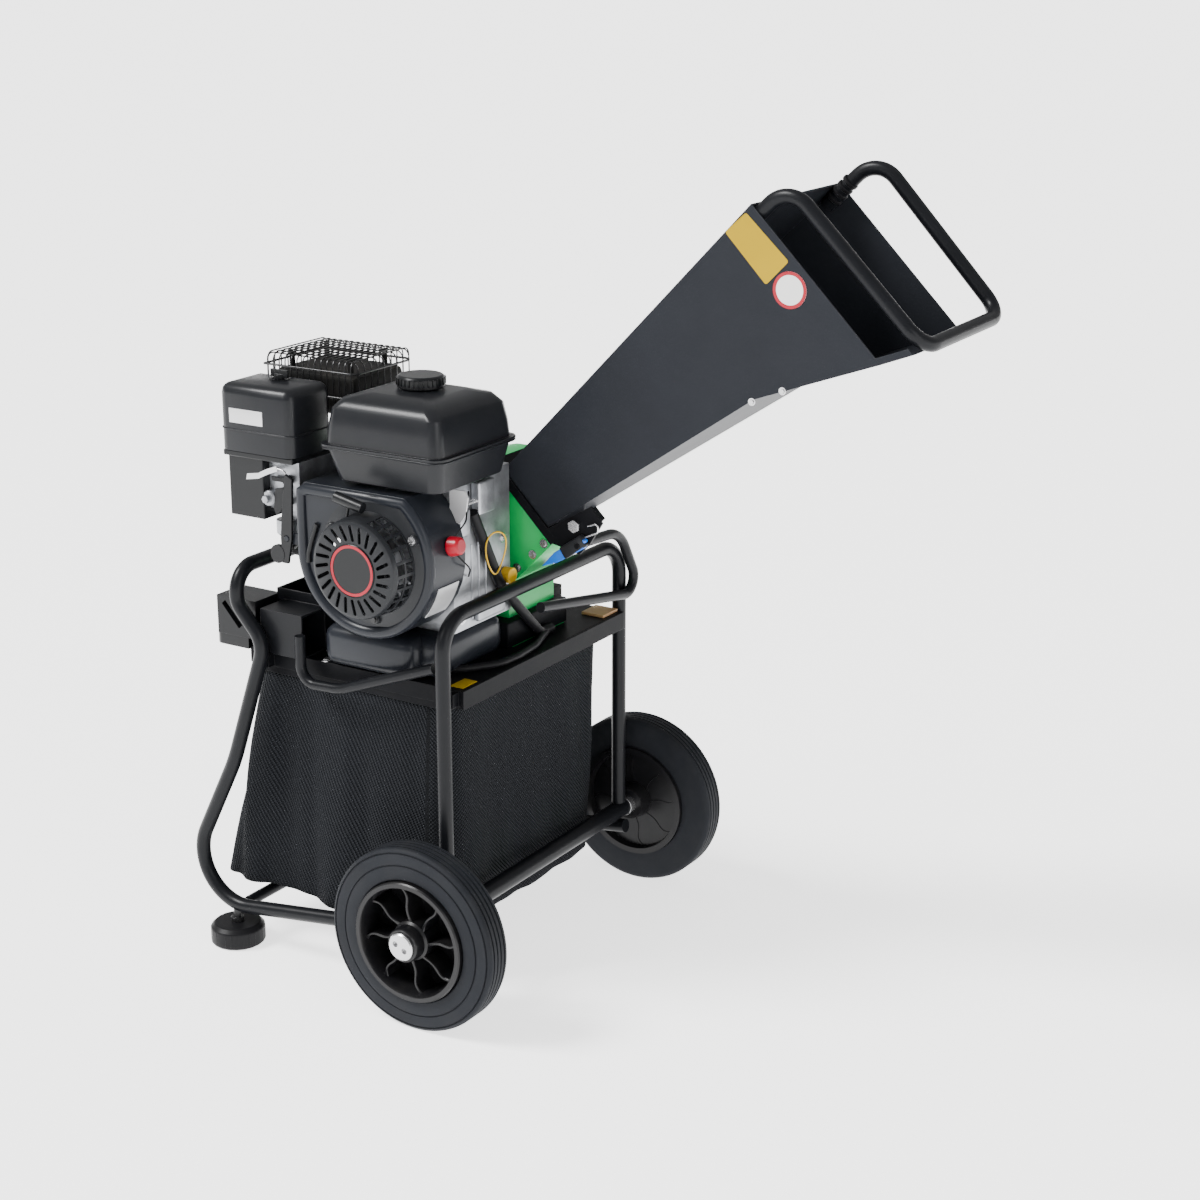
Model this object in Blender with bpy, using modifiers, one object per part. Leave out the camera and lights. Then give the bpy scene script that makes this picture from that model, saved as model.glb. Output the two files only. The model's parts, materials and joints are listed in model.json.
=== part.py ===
"""Petrol garden shredder: a four-stroke engine turns a knife rotor that a long hopper feeds.

Metres, +Z up. The driving sizes below use a working frame: X = 0 at the wheel axle and growing towards
the hopper mouth, Y = 0 at the outer face of the near wheel, Z = 0 on the ground. The recoil starter
faces -Y. At the end the whole machine moves so that its origin is the middle of its footprint.
"""

from math import acos, asin, cos, degrees, hypot, pi, radians, sin, tan

import bmesh
import bpy
from mathutils import Matrix, Vector

# Clearances
GAP = 0.0003
RUN = 0.0005
SKIN = 0.0001
CORNER_STEPS = 3

# Wheels and axle
WHEEL_R = 0.125
TYRE_WIDTH = 0.0434
RIM_R = 0.082
RIM_WIDTH = 0.0554
RIM_WALL = 0.006
WEB_THICK = 0.036
HUB_R = 0.0265
HUB_LENGTH = 0.075
SPOKES = 8
SPOKE_WIDTH = 0.004
AXLE_R = 0.008
AXLE_TUBE_R = 0.0125
AXLE_TUBE_OVERHANG = 0.013
COLLAR_R = 0.014
CAP_R = 0.0184
CAP_THICK = 0.0045
CAP_INSET = -0.020

# Bent tube frame
TUBE_R = 0.010
NEAR_Y = 0.086
FRAME_WIDTH = 0.428
FAR_Y = NEAR_Y + FRAME_WIDTH
FAR_OUTER = FAR_Y + NEAR_Y
HOOP_Z = 0.530
HOOP_BEND = 0.045
FOOT_BEND = 0.069
FOOT_CORNER = (-0.4715, 0.0395)
KNEE = (-0.3525, 0.272)
WAIST = (-0.2905, 0.450)
SHOULDER = (-0.3345, 0.500)
KNEE_BEND = 0.30
WAIST_BEND = 0.040
SHOULDER_BEND = 0.030
LOOP_TOP_Z = 0.547
LOOP_BEND = 0.034
CROSS_BAR_X = -0.350
CROSS_BAR_R = 0.008
RAIL_R = 0.0072
RAIL_LOW_Z = 0.405
RAIL_KNEE_X = -0.165
RAIL_KNEE_Z = 0.4095
RAIL_END_Z = 0.466
RAIL_TOP_DROP = 0.024
RAIL_SIDE_STEP = 0.0025
RAIL_HOOP_GAP = 0.003
RAIL_BEND = 0.024
RAIL_SWEEP = 0.080
BRACE_R = 0.007
BRACE_TOP = (0.190, 0.645)
BRACE_KNEE = (0.252, 0.530)
BRACE_FOOT_Y = 0.345
BRACE_END_Y = 0.372
FAR_LOOP_CORNERS = (
    (FAR_Y - 0.114, 0.5615), (FAR_Y - 0.0285, 0.5555), (FAR_Y + 0.031, 0.452), (FAR_Y - 0.229, 0.4985),
)
FAR_LOOP_BENDS = (0.055, 0.022)

# Feet
FOOT_X = -0.3625
PAD_R = 0.038
PAD_HEIGHT = 0.030
STUD_R = 0.005
STUD_DEPTH = 0.012

# Deck
DECK_TOP = 0.433
DECK_LEFT = -0.335
DECK_RIGHT = 0.0115
DECK_NEAR = 0.109
DECK_FAR = FAR_Y - TUBE_R - GAP
SHEET = 0.003
DECK_SKIRT = 0.022
EDGE_LIP = 0.020
LUG_HALF = 0.007
LUG_LOOP_X = -0.301
POST_LEFT = -0.092
POST_RIGHT = -0.060
POST_NEAR = 0.4255
POST_FAR = 0.4575
POST_TOP = 0.474

# Brackets at the feet side of the deck
BRACKET_LEFT = -0.306
BRACKET_RIGHT = -0.236
BRACKET_NEAR = 0.098
BRACKET_FAR = 0.150
BRACKET_TOP = 0.494
BRACKET_WALL = 0.003
TRAY_FAR = 0.320
TRAY_TOP = 0.508
LATCH_LEFT = -0.385
LATCH_NEAR = 0.103
LATCH_FAR = 0.156

# Collection bag
BAG_RIM_DEPTH = 0.010
BAG_RIM_WIDTH = 0.012
BAG_WALL = 0.003
BAG_BOTTOM = 0.076
BAG_LEAN = 0.082
BAG_RIGHT_X = -0.019
BAG_NEAR_Y = NEAR_Y + 0.026
BAG_FAR_Y = FAR_Y - 0.028

# Engine
CRANK_X = -0.098
CRANK_Z = 0.595
STARTER_FACE_Y = 0.034
STARTER_FACE_R = 0.0645
STARTER_BASE_R = 0.080
STARTER_WALL = 0.002
STARTER_FLARE_Y = 0.0755
STARTER_LIP = 0.0055
COVER_FRONT_Y = 0.085
COVER_BACK_Y = 0.155
COVER_WALL = 0.002
COVER_R = 0.108
COVER_SHIFT = (-0.020, 0.002)
COVER_LEFT = -0.1275
COVER_TOP = 0.088
COVER_HOLE_R = 0.074
COVER_CORNER = 0.014
SLOTS = 24
SLOT_INNER = 0.037
SLOT_OUTER = 0.059
SLOT_WIDTH = 0.0048
REEL_R = 0.035
REEL_FRONT_Y = 0.048
REEL_WIDTH = 0.016
REEL_FLANGE = 0.004
REEL_BORE = 0.0063
PULL_ANGLE = radians(12)
GRIP_REACH = 0.075
GRIP_LENGTH = 0.044
GRIP_R = 0.0072
ROPE_R = 0.002
ROPE_LENGTH = 0.058
CASE_RIGHT = 0.068
CASE_LEFT = 0.067
CASE_BASE = 0.106
CASE_DEPTH = 0.1297
CASE_WALL = 0.006
CAVITY_R = 0.060
SHAFT_R = 0.0125
SHAFT_START = 0.088
WEB_NEAR = 0.205
WEB_THICKNESS = 0.010
PIN_LENGTH = 0.028
CRANK_THROW = 0.027
WEB_R = 0.043
FLYWHEEL_R = 0.076
FLYWHEEL_FRONT_Y = 0.107
FLYWHEEL_WIDTH = 0.012
BLADE_HEIGHT = 0.018
BLADES = 14
CYLINDER_TILT = radians(25)
CYLINDER_START = 0.080
CYLINDER_LENGTH = 0.108
CYLINDER_SIZE = 0.092
CYLINDER_FRONT_Y = 0.1905
FINS = 8
FIN_DEPTH = 0.012
FIN_THICK = 0.004
HEAD_LENGTH = 0.020
ROCKER_LENGTH = 0.030
PLINTH_LEFT = -0.205
PLINTH_RIGHT = -0.105
PLINTH_FRONT_Y = 0.100
PLINTH_DEPTH = 0.170
PLUG_Y = 0.220
PLUG_R = 0.009
PLUG_LENGTH = 0.034
LEAD_R = 0.0035
LEAD_TURN = (0.150, 0.562)
LEAD_END = (0.135, 0.568)
OIL_CAP = (0.270, 0.541)
OIL_CAP_R = 0.011
OIL_CAP_HEIGHT = 0.014
STOP_Y = 0.124
STOP_ANGLE = radians(11)
STOP_R = 0.0135
STOP_HEIGHT = 0.018
LEVER_X = -0.2455
LEVER_Z = 0.602
LEVER_NEAR = 0.0868
LEVER_THICK = 0.004
PIN_R = 0.004

# Fuel tank, air cleaner and muffler
TANK_LEFT = -0.180
TANK_RIGHT = 0.001
TANK_NEAR = 0.084
TANK_FAR = 0.254
TANK_BOTTOM = 0.690
TANK_SEAM = 0.735
TANK_STEPS = ((0.760, 0.002), (0.783, 0.006), (0.795, 0.016), (0.802, 0.040))
FUEL_CAP_PLACE = (-0.093, 0.181)
TANK_UNDERCUT = (0.012, 0.010, 0.010, 0.008)
TANK_LIP = 0.006
TANK_CORNER = 0.016
TANK_WALL = 0.003
FUEL_CAP_R = 0.031
FUEL_CAP_HEIGHT = 0.013
NECK_R = 0.022
NECK_HEIGHT = 0.004
CLEANER_LEFT = -0.350
CLEANER_RIGHT = -0.229
CLEANER_FRONT_Y = 0.085
CLEANER_DEPTH = 0.086
CLEANER_TOP = 0.798
CLEANER_SEAM = 0.709
CLEANER_ROUND = 0.014
TRAY_DEPTH = 0.008
WING_NUT = (-0.290, 0.140)
BASE_RIGHT = -0.286
BASE_BOTTOM = 0.620
CARB_RIGHT = -0.236
CARB_FRONT_Y = 0.106
CARB_BOTTOM = 0.634
SMALL_LEVER_X = -0.252
CHOKE_Z = 0.676
FUEL_VALVE_Z = 0.648
MUFFLER_LEFT = -0.352
MUFFLER_RIGHT = -0.214
MUFFLER_NEAR = 0.198
MUFFLER_FAR = 0.312
MUFFLER_BOTTOM = 0.742
MUFFLER_TOP = 0.798
GUARD_SPACE = 0.008
GUARD_WALL = 0.0024
GUARD_TOP_CLEAR = 0.020
GUARD_RISE = 0.006
GUARD_BAR = 0.004
STUB_ALONG = 0.168
STUB_LENGTH = 0.022
STUB_INSET = 0.045
STUB_R = 0.016

# Rotor housing and rotor
HOUSING_NEAR = 0.300
HOUSING_WIDTH = 0.120
HOUSING_R = 0.0965
DRUM_R = 0.084
DRUM_BLEND = 30
HOUSING_WALL = 0.004
FEED_ANGLE = radians(45)
FLANGE_START = 0.080
FLANGE_THICK = 0.012
FLANGE_UPPER = 0.040
THROAT_UPPER = 0.0193
THROAT_LOWER = 0.0740
CHUTE_LEFT = -0.152
CHUTE_RIGHT = -0.044
CHUTE_FAR = 0.412
FOOT_FLANGE = 0.013
ROTOR_R = 0.062
ROTOR_MARGIN = 0.004
KNIFE_FLAT = 0.048
KNIFE_THICK = 0.008
KNIFE_WIDTH = 0.046
KNIFE_REACH = 0.050
BED_KNIFE_START = 0.028
BED_KNIFE_LENGTH = 0.042
BED_KNIFE_THICK = 0.016
KNIFE_ANGLE = radians(200)

# Hopper
HOPPER_SHEET = 0.002
MOUTH_U = 0.611
MOUTH_UPPER = 0.0305
MOUTH_LOWER = 0.2188
MOUTH_FAR_Y = 0.541
KINK_U = 0.4507
KINK_W = 0.1438
HINGE_U = 0.1298
HINGE_W = 0.1013
HINGE_R = 0.005
EAR_THICK = 0.004
EAR_R = 0.013
LIP_HEIGHT = 0.010
HANDLE_R = 0.0095
HANDLE_NEAR_U = 0.660
HANDLE_FAR_U = 0.679
HANDLE_BEND = 0.034
HANDLE_START_U = 0.585
HANDLE_END_NEAR_U = 0.662
HANDLE_END_FAR_U = 0.671
HANDLE_END_W = 0.2371
HANDLE_END_BEND = 0.030
FLAP_U = 0.500
FLAP_LENGTH = 0.125
FLAP_THICK = 0.004
CLAMP_U = 0.1195
CLAMP_W = 0.1245
CLAMP_THICK = 0.009
CLAMP_OUTLINE = (
    (-0.0666, -0.0143), (-0.0363, -0.0157), (-0.0121, -0.0112), (0.0087, -0.0058),
    (0.0143, 0.0016), (0.0054, 0.0083), (-0.0177, 0.0031), (-0.0422, -0.0032),
)

ROOT = (0.0, 0.0, 0.0)
AXLE = (0.0, 0.0, WHEEL_R)
CRANK = (CRANK_X, 0.0, CRANK_Z)

FINISHES = {
    "black_coat": ((0.018, 0.018, 0.020), 0.42, 0.30),
    "grey_plastic": ((0.040, 0.042, 0.046), 0.45, 0.0),
    "rubber": ((0.022, 0.022, 0.023), 0.75, 0.0),
    "rim_plastic": ((0.016, 0.016, 0.017), 0.40, 0.0),
    "cast_alloy": ((0.560, 0.565, 0.570), 0.38, 0.85),
    "steel": ((0.480, 0.480, 0.490), 0.30, 0.95),
    "green_coat": ((0.000, 0.260, 0.070), 0.40, 0.10),
    "red_plastic": ((0.620, 0.010, 0.040), 0.35, 0.0),
    "yellow_plastic": ((0.850, 0.520, 0.020), 0.45, 0.0),
    "blue_plastic": ((0.020, 0.180, 0.620), 0.40, 0.0),
    "bag_cloth": ((0.014, 0.014, 0.015), 0.90, 0.0),
}


def finish(name):
    """One Principled material for each finish, made when it is first asked for."""
    found = bpy.data.materials.get(name)
    if found:
        return found
    colour, roughness, metallic = FINISHES[name]
    material = bpy.data.materials.new(name)
    material.use_nodes = True
    shader = material.node_tree.nodes["Principled BSDF"]
    shader.inputs["Base Color"].default_value = (*colour, 1)
    shader.inputs["Roughness"].default_value = roughness
    shader.inputs["Metallic"].default_value = metallic
    return material


class Workshop:
    """The two collections and the empty that everything hangs on."""

    def __init__(self):
        for old in list(bpy.data.objects):
            bpy.data.objects.remove(old)
        self.parts = bpy.data.collections.new("garden_shredder")
        self.cutters = bpy.data.collections.new("cutters")
        for group in (self.parts, self.cutters):
            bpy.context.scene.collection.children.link(group)
        self.base = bpy.data.objects.new("machine_origin", None)
        self.parts.objects.link(self.base)

    def add(self, name, data, look, pivot=ROOT):
        """Puts a mesh or curve, drawn in the working frame, on its pivot. look None makes a cutter."""
        data.transform(Matrix.Translation(-Vector(pivot)))
        made = bpy.data.objects.new(name, data)
        made.location = pivot
        made.parent = self.base
        if look is None:
            made.hide_render = True
            made.display_type = "WIRE"
            self.cutters.objects.link(made)
        else:
            data.materials.append(finish(look))
            self.parts.objects.link(made)
        return made


def smooth(mesh, angle=35):
    """Shades round faces smooth and keeps edges sharper than the angle crisp."""
    mesh.shade_smooth()
    mesh.set_sharp_from_angle(angle=radians(angle))


def box(shop, name, low, high, look, pivot=ROOT, turn=None):
    """A box between two corners. turn is a matrix that turns it about its own middle."""
    low, high = Vector(low), Vector(high)
    size = high - low
    place = Matrix.Translation((low + high) / 2) @ (turn or Matrix()) @ Matrix.Diagonal((*size, 1))
    shape = bmesh.new()
    bmesh.ops.create_cube(shape, size=1, matrix=place)
    mesh = bpy.data.meshes.new(name)
    shape.to_mesh(mesh)
    shape.free()
    return shop.add(name, mesh, look, pivot)


def toward(axis):
    """The turn that takes +Z to this axis."""
    return Vector((0, 0, 1)).rotation_difference(Vector(axis)).to_matrix().to_4x4()


def rod(shop, name, start, end, radius, look, pivot=ROOT, sides=24, end_radius=None):
    """A cylinder or cone from start to end."""
    start, end = Vector(start), Vector(end)
    place = Matrix.Translation((start + end) / 2) @ toward(end - start)
    shape = bmesh.new()
    bmesh.ops.create_cone(
        shape, cap_ends=True, segments=sides, radius1=radius,
        radius2=radius if end_radius is None else end_radius,
        depth=(end - start).length, matrix=place,
    )
    mesh = bpy.data.meshes.new(name)
    shape.to_mesh(mesh)
    shape.free()
    smooth(mesh)
    return shop.add(name, mesh, look, pivot)


def turned(shop, name, profile, look, base, axis=(0, 1, 0), closed=False, steps=32):
    """A Screw of (radius, height) points, top first. Heights run along the axis from the base point."""
    mesh = bpy.data.meshes.new(name)
    edges = [(i, i + 1) for i in range(len(profile) - 1)]
    if closed:
        edges.append((len(profile) - 1, 0))
    mesh.from_pydata([(radius, 0, height) for radius, height in profile], edges, [])
    made = shop.add(name, mesh, look)
    made.location = base
    made.rotation_mode = "QUATERNION"
    made.rotation_quaternion = Vector((0, 0, 1)).rotation_difference(Vector(axis))
    screw = made.modifiers.new("turn", "SCREW")
    screw.steps = screw.render_steps = steps
    screw.use_merge_vertices = True
    screw.merge_threshold = 0.0001
    screw.use_smooth_shade = True
    return made


def arc(centre, radius, start, end, steps):
    """Points round a centre from one angle to another, in degrees."""
    return [
        (
            centre[0] + radius * cos(radians(start + (end - start) * i / steps)),
            centre[1] + radius * sin(radians(start + (end - start) * i / steps)),
        )
        for i in range(steps + 1)
    ]


def rounded(corners, bends, steps=5):
    """The corners joined by straight runs, each inner corner turned into an arc of its own radius."""
    points = [Vector(corner) for corner in corners]
    if not hasattr(bends, "__len__"):
        bends = [bends] * (len(points) - 2)
    path = [points[0]]
    for before, corner, after, bend in zip(points, points[1:], points[2:], bends):
        back = (before - corner).normalized()
        ahead = (after - corner).normalized()
        half = back.angle(ahead) / 2
        middle = corner + (back + ahead).normalized() * bend / sin(half)
        start = corner + back * bend / tan(half) - middle
        end = corner + ahead * bend / tan(half) - middle
        swing = start.angle(end)
        for i in range(steps + 1):
            share = i / steps
            point = start * sin((1 - share) * swing) + end * sin(share * swing)
            path.append(middle + point / sin(swing))
    path.append(points[-1])
    return path


def tube(shop, name, points, radius, look, pivot=ROOT, resolution=3):
    """A tube with filled ends along the points."""
    curve = bpy.data.curves.new(name, "CURVE")
    curve.dimensions = "3D"
    spline = curve.splines.new("POLY")
    spline.points.add(len(points) - 1)
    for point, place in zip(spline.points, points):
        point.co = (*place, 1)
    curve.bevel_depth = radius
    curve.bevel_resolution = resolution
    curve.use_fill_caps = True
    return shop.add(name, curve, look, pivot)


def as_mesh(shop, made):
    """The same piece as a mesh with its caps welded, so that it can be cut."""
    bpy.context.view_layer.update()
    graph = bpy.context.evaluated_depsgraph_get()
    name, where, parent = made.name, made.matrix_world.copy(), made.parent
    groups = list(made.users_collection)
    mesh = bpy.data.meshes.new_from_object(made.evaluated_get(graph))
    hidden = made.hide_render
    bpy.data.objects.remove(made)
    shape = bmesh.new()
    shape.from_mesh(mesh)
    bmesh.ops.remove_doubles(shape, verts=shape.verts, dist=0.00001)
    shape.to_mesh(mesh)
    shape.free()
    solid = bpy.data.objects.new(name, mesh)
    solid.parent = parent
    solid.matrix_world = where
    solid.hide_render = hidden
    solid.display_type = "WIRE" if hidden else "TEXTURED"
    for group in groups:
        group.objects.link(solid)
    return solid


def slab(shop, name, outline, near, far, look, pivot=ROOT):
    """A flat outline of (X, Z) points, as thick in Y as from near to far."""
    curve = bpy.data.curves.new(name, "CURVE")
    curve.dimensions = "2D"
    curve.fill_mode = "BOTH"
    curve.extrude = (far - near) / 2
    spline = curve.splines.new("POLY")
    spline.points.add(len(outline) - 1)
    for point, (x, z) in zip(spline.points, outline):
        point.co = (x - pivot[0], z - pivot[2], 0, 1)
    spline.use_cyclic_u = True
    made = shop.add(name, curve, look)
    made.location = (pivot[0], (near + far) / 2, pivot[2])
    made.rotation_euler = (pi / 2, 0, 0)
    return as_mesh(shop, made)


def boolean(made, other, operation):
    """Adds one live Boolean of the other piece."""
    step = made.modifiers.new(other.name, "BOOLEAN")
    step.object = other
    step.operation = operation
    return made


def cut(made, *cutters):
    """Takes the cutters out of the piece."""
    for cutter in cutters:
        boolean(made, cutter, "DIFFERENCE")
    return made


def unite(made, *others):
    """Joins the other pieces to the piece."""
    for other in others:
        boolean(made, other, "UNION")
    return made


def soften(made, width, segments=2):
    """Rounds the edges of a hard-edged piece."""
    bevel = made.modifiers.new("soft_edges", "BEVEL")
    bevel.width = width
    bevel.segments = segments
    bevel.limit_method = "ANGLE"
    bevel.angle_limit = radians(40)
    return made


def mirror_y(points):
    """The same (X, Y, Z) points on the far side of the frame."""
    return [(x, NEAR_Y + FAR_Y - y, z) for x, y, z in points]


def feed(u, w):
    """(X, Z) of a place u along the feed direction from the crank and w below it, square to it."""
    along = (cos(FEED_ANGLE), sin(FEED_ANGLE))
    below = (sin(FEED_ANGLE), -cos(FEED_ANGLE))
    return (CRANK_X + u * along[0] + w * below[0], CRANK_Z + u * along[1] + w * below[1])


def feed_box(shop, name, low, high, look, pivot=ROOT):
    """A box between two (u, Y, w) corners, square to the feed direction."""
    middle = [(a + b) / 2 for a, b in zip(low, high)]
    half = [(b - a) / 2 for a, b in zip(low, high)]
    x, z = feed(middle[0], middle[2])
    turn = Matrix.Rotation(-FEED_ANGLE, 4, "Y")
    corner = Vector(half)
    centre = Vector((x, middle[1], z))
    return box(shop, name, centre - corner, centre + corner, look, pivot, turn)


def cylinder_point(along, up):
    """(X, Z) of a place along the cylinder's axis from the crank, and square to it."""
    return (
        CRANK_X - along * cos(CYLINDER_TILT) + up * sin(CYLINDER_TILT),
        CRANK_Z + along * sin(CYLINDER_TILT) + up * cos(CYLINDER_TILT),
    )


def wheel(shop, side, outer_y, outward):
    """Rim, tyre and cap. outward is -1 for the near wheel, whose outer face looks towards -Y."""
    axis = (0, -outward, 0)
    base = (0, outer_y, WHEEL_R)
    margin = (TYRE_WIDTH - RIM_WIDTH) / 2
    web = TYRE_WIDTH / 2
    hub_out = CAP_INSET + CAP_THICK + GAP
    hub_in = hub_out + HUB_LENGTH
    bore = AXLE_R + GAP
    inner = RIM_R - RIM_WALL
    rim = turned(shop, f"{side}_rim", [
        (RIM_R, TYRE_WIDTH - margin), (RIM_R, margin), (inner, margin), (inner, web - WEB_THICK / 2),
        (HUB_R, web - WEB_THICK / 2), (HUB_R, hub_out), (bore, hub_out), (bore, hub_in),
        (HUB_R, hub_in), (HUB_R, web + WEB_THICK / 2), (inner, web + WEB_THICK / 2),
        (inner, TYRE_WIDTH - margin),
    ], "rim_plastic", base, axis, closed=True)
    window_inner = HUB_R + 0.001
    window_outer = inner - 0.001
    spread = 180 / SPOKES
    side_inner = spread - degrees(SPOKE_WIDTH / 2 / window_inner)
    side_outer = spread - degrees(SPOKE_WIDTH / 2 / window_outer)
    low, high = sorted((outer_y, outer_y - outward * TYRE_WIDTH))
    for i in range(SPOKES):
        turn = 2 * spread * i
        middle = (0, WHEEL_R)
        outline = arc(middle, window_inner, turn + side_inner, turn - side_inner, 1)
        outline += arc(middle, window_outer, turn - side_outer, turn + side_outer, 2)
        cut(rim, slab(shop, f"{side}_window_{i}", outline, low, high, None))
    seat = RIM_R + GAP
    shoulder = 0.004
    turned(shop, f"{side}_tyre", [
        (WHEEL_R - shoulder, TYRE_WIDTH), (WHEEL_R, TYRE_WIDTH - shoulder), (WHEEL_R, shoulder),
        (WHEEL_R - shoulder, 0), (seat, 0), (seat, TYRE_WIDTH),
    ], "rubber", base, axis, closed=True, steps=48)
    turned(shop, f"{side}_hub_cap", [
        (0, CAP_INSET + CAP_THICK), (CAP_R, CAP_INSET + CAP_THICK), (CAP_R, CAP_INSET + 0.002),
        (CAP_R - 0.003, CAP_INSET), (0, CAP_INSET),
    ], "steel", base, axis, steps=20)


def axle_parts(shop):
    """The tube under the frame and the axle that turns in it, with a collar inside each hub."""
    start = NEAR_Y - AXLE_TUBE_OVERHANG
    end = FAR_Y + AXLE_TUBE_OVERHANG
    bore = AXLE_R + GAP
    turned(shop, "axle_tube", [
        (AXLE_TUBE_R, end), (AXLE_TUBE_R, start), (bore, start), (bore, end),
    ], "black_coat", AXLE, closed=True, steps=20)
    hub_out = CAP_INSET + CAP_THICK + GAP
    near_end = hub_out
    near_hub = hub_out + HUB_LENGTH + GAP
    far_hub = FAR_OUTER - hub_out - HUB_LENGTH - GAP
    far_end = FAR_OUTER - hub_out
    turned(shop, "wheel_axle", [
        (0, far_end), (AXLE_R, far_end), (AXLE_R, far_hub), (COLLAR_R, far_hub), (COLLAR_R, end + GAP),
        (AXLE_R, end + GAP), (AXLE_R, start - GAP), (COLLAR_R, start - GAP), (COLLAR_R, near_hub),
        (AXLE_R, near_hub), (AXLE_R, near_end), (0, near_end),
    ], "steel", AXLE, steps=16)


def height_at(path, x):
    """Height and slope of the tube's centre line where it first passes this X, from the axle outwards."""
    for start, end in zip(path, path[1:]):
        if end[0] <= x <= start[0]:
            slope = (end[2] - start[2]) / (end[0] - start[0])
            return start[2] + (x - start[0]) * slope, slope
    return path[0][2], 0.0


def frame_tubes(shop):
    """The bent tubes: hoop, feet loop, cross bar, side rail, far loop and the hose."""
    leg_foot = WHEEL_R + AXLE_TUBE_R + GAP
    hoop = rounded([
        (0, NEAR_Y, leg_foot), (0, NEAR_Y, HOOP_Z), (0, FAR_Y, HOOP_Z), (0, FAR_Y, leg_foot),
    ], HOOP_BEND)
    tube(shop, "wheel_side_hoop", hoop, TUBE_R, "black_coat")

    under_axle = WHEEL_R - AXLE_TUBE_R - TUBE_R - 2 * GAP
    near_side = [
        (AXLE_TUBE_R, NEAR_Y, under_axle), (FOOT_CORNER[0], NEAR_Y, FOOT_CORNER[1]),
        (KNEE[0], NEAR_Y, KNEE[1]), (WAIST[0], NEAR_Y, WAIST[1]), (SHOULDER[0], NEAR_Y, SHOULDER[1]),
        (SHOULDER[0], NEAR_Y, LOOP_TOP_Z),
    ]
    bends = [FOOT_BEND, KNEE_BEND, WAIST_BEND, SHOULDER_BEND, LOOP_BEND]
    loop = rounded(near_side + mirror_y(near_side)[::-1], bends + bends[::-1], 4)
    tube(shop, "feet_side_loop", loop, TUBE_R, "black_coat")

    bar_height = height_at(loop, CROSS_BAR_X)[0]
    inner_face = TUBE_R + GAP
    rod(shop, "foot_cross_bar", (CROSS_BAR_X, NEAR_Y + inner_face, bar_height),
        (CROSS_BAR_X, FAR_Y - inner_face, bar_height), CROSS_BAR_R, "black_coat", sides=12)
    feet(shop, loop)

    rail_y = BRACKET_NEAR - RAIL_R - GAP
    rail_x = BRACKET_RIGHT + RAIL_SIDE_STEP
    tube(shop, "side_rail", rounded([
        (rail_x, rail_y, BRACKET_TOP - RAIL_TOP_DROP), (rail_x, rail_y, RAIL_LOW_Z),
        (RAIL_KNEE_X, NEAR_Y, RAIL_KNEE_Z), (-TUBE_R - RAIL_HOOP_GAP, NEAR_Y, RAIL_END_Z),
    ], [RAIL_BEND, RAIL_SWEEP]), RAIL_R, "black_coat")
    beside_hoop = TUBE_R + RAIL_R + GAP
    tube(shop, "far_side_loop", rounded([
        (beside_hoop, y, z) for y, z in FAR_LOOP_CORNERS
    ], FAR_LOOP_BENDS), RAIL_R, "black_coat")
    beside_case = CRANK_X + CASE_RIGHT + BRACE_R + GAP
    on_deck = DECK_TOP + BRACE_R + GAP
    tube(shop, "brace_tube", rounded([
        (beside_case, BRACE_TOP[0], BRACE_TOP[1]), (beside_case, BRACE_KNEE[0], BRACE_KNEE[1]),
        (beside_case, BRACE_FOOT_Y, on_deck), (beside_case, BRACE_END_Y, on_deck),
    ], [0.12, 0.020]), BRACE_R, "black_coat")


def feet(shop, loop):
    """A pad and its threaded stud under each foot bend."""
    centre, slope = height_at(loop, FOOT_X)
    stud_top = centre - TUBE_R * hypot(1, slope) - STUD_R * abs(slope) - GAP
    for side, y in (("near", NEAR_Y), ("far", FAR_Y)):
        base = (FOOT_X, y, 0)
        bore = STUD_R + GAP
        floor = PAD_HEIGHT - STUD_DEPTH
        turned(shop, f"{side}_foot_pad", [
            (0, floor), (bore, floor), (bore, PAD_HEIGHT), (PAD_R - 0.006, PAD_HEIGHT),
            (PAD_R, PAD_HEIGHT - 0.006), (PAD_R, 0.003), (PAD_R - 0.003, 0), (0, 0),
        ], "rubber", base, (0, 0, 1), steps=20)
        turned(shop, f"{side}_foot_stud", [
            (0, stud_top), (STUD_R, stud_top), (STUD_R, PAD_HEIGHT + 0.006 + GAP),
            (STUD_R + 0.004, PAD_HEIGHT + 0.006 + GAP), (STUD_R + 0.004, PAD_HEIGHT + GAP),
            (STUD_R, PAD_HEIGHT + GAP), (STUD_R, floor + GAP), (0, floor + GAP),
        ], "steel", base, (0, 0, 1), steps=12)


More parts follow.
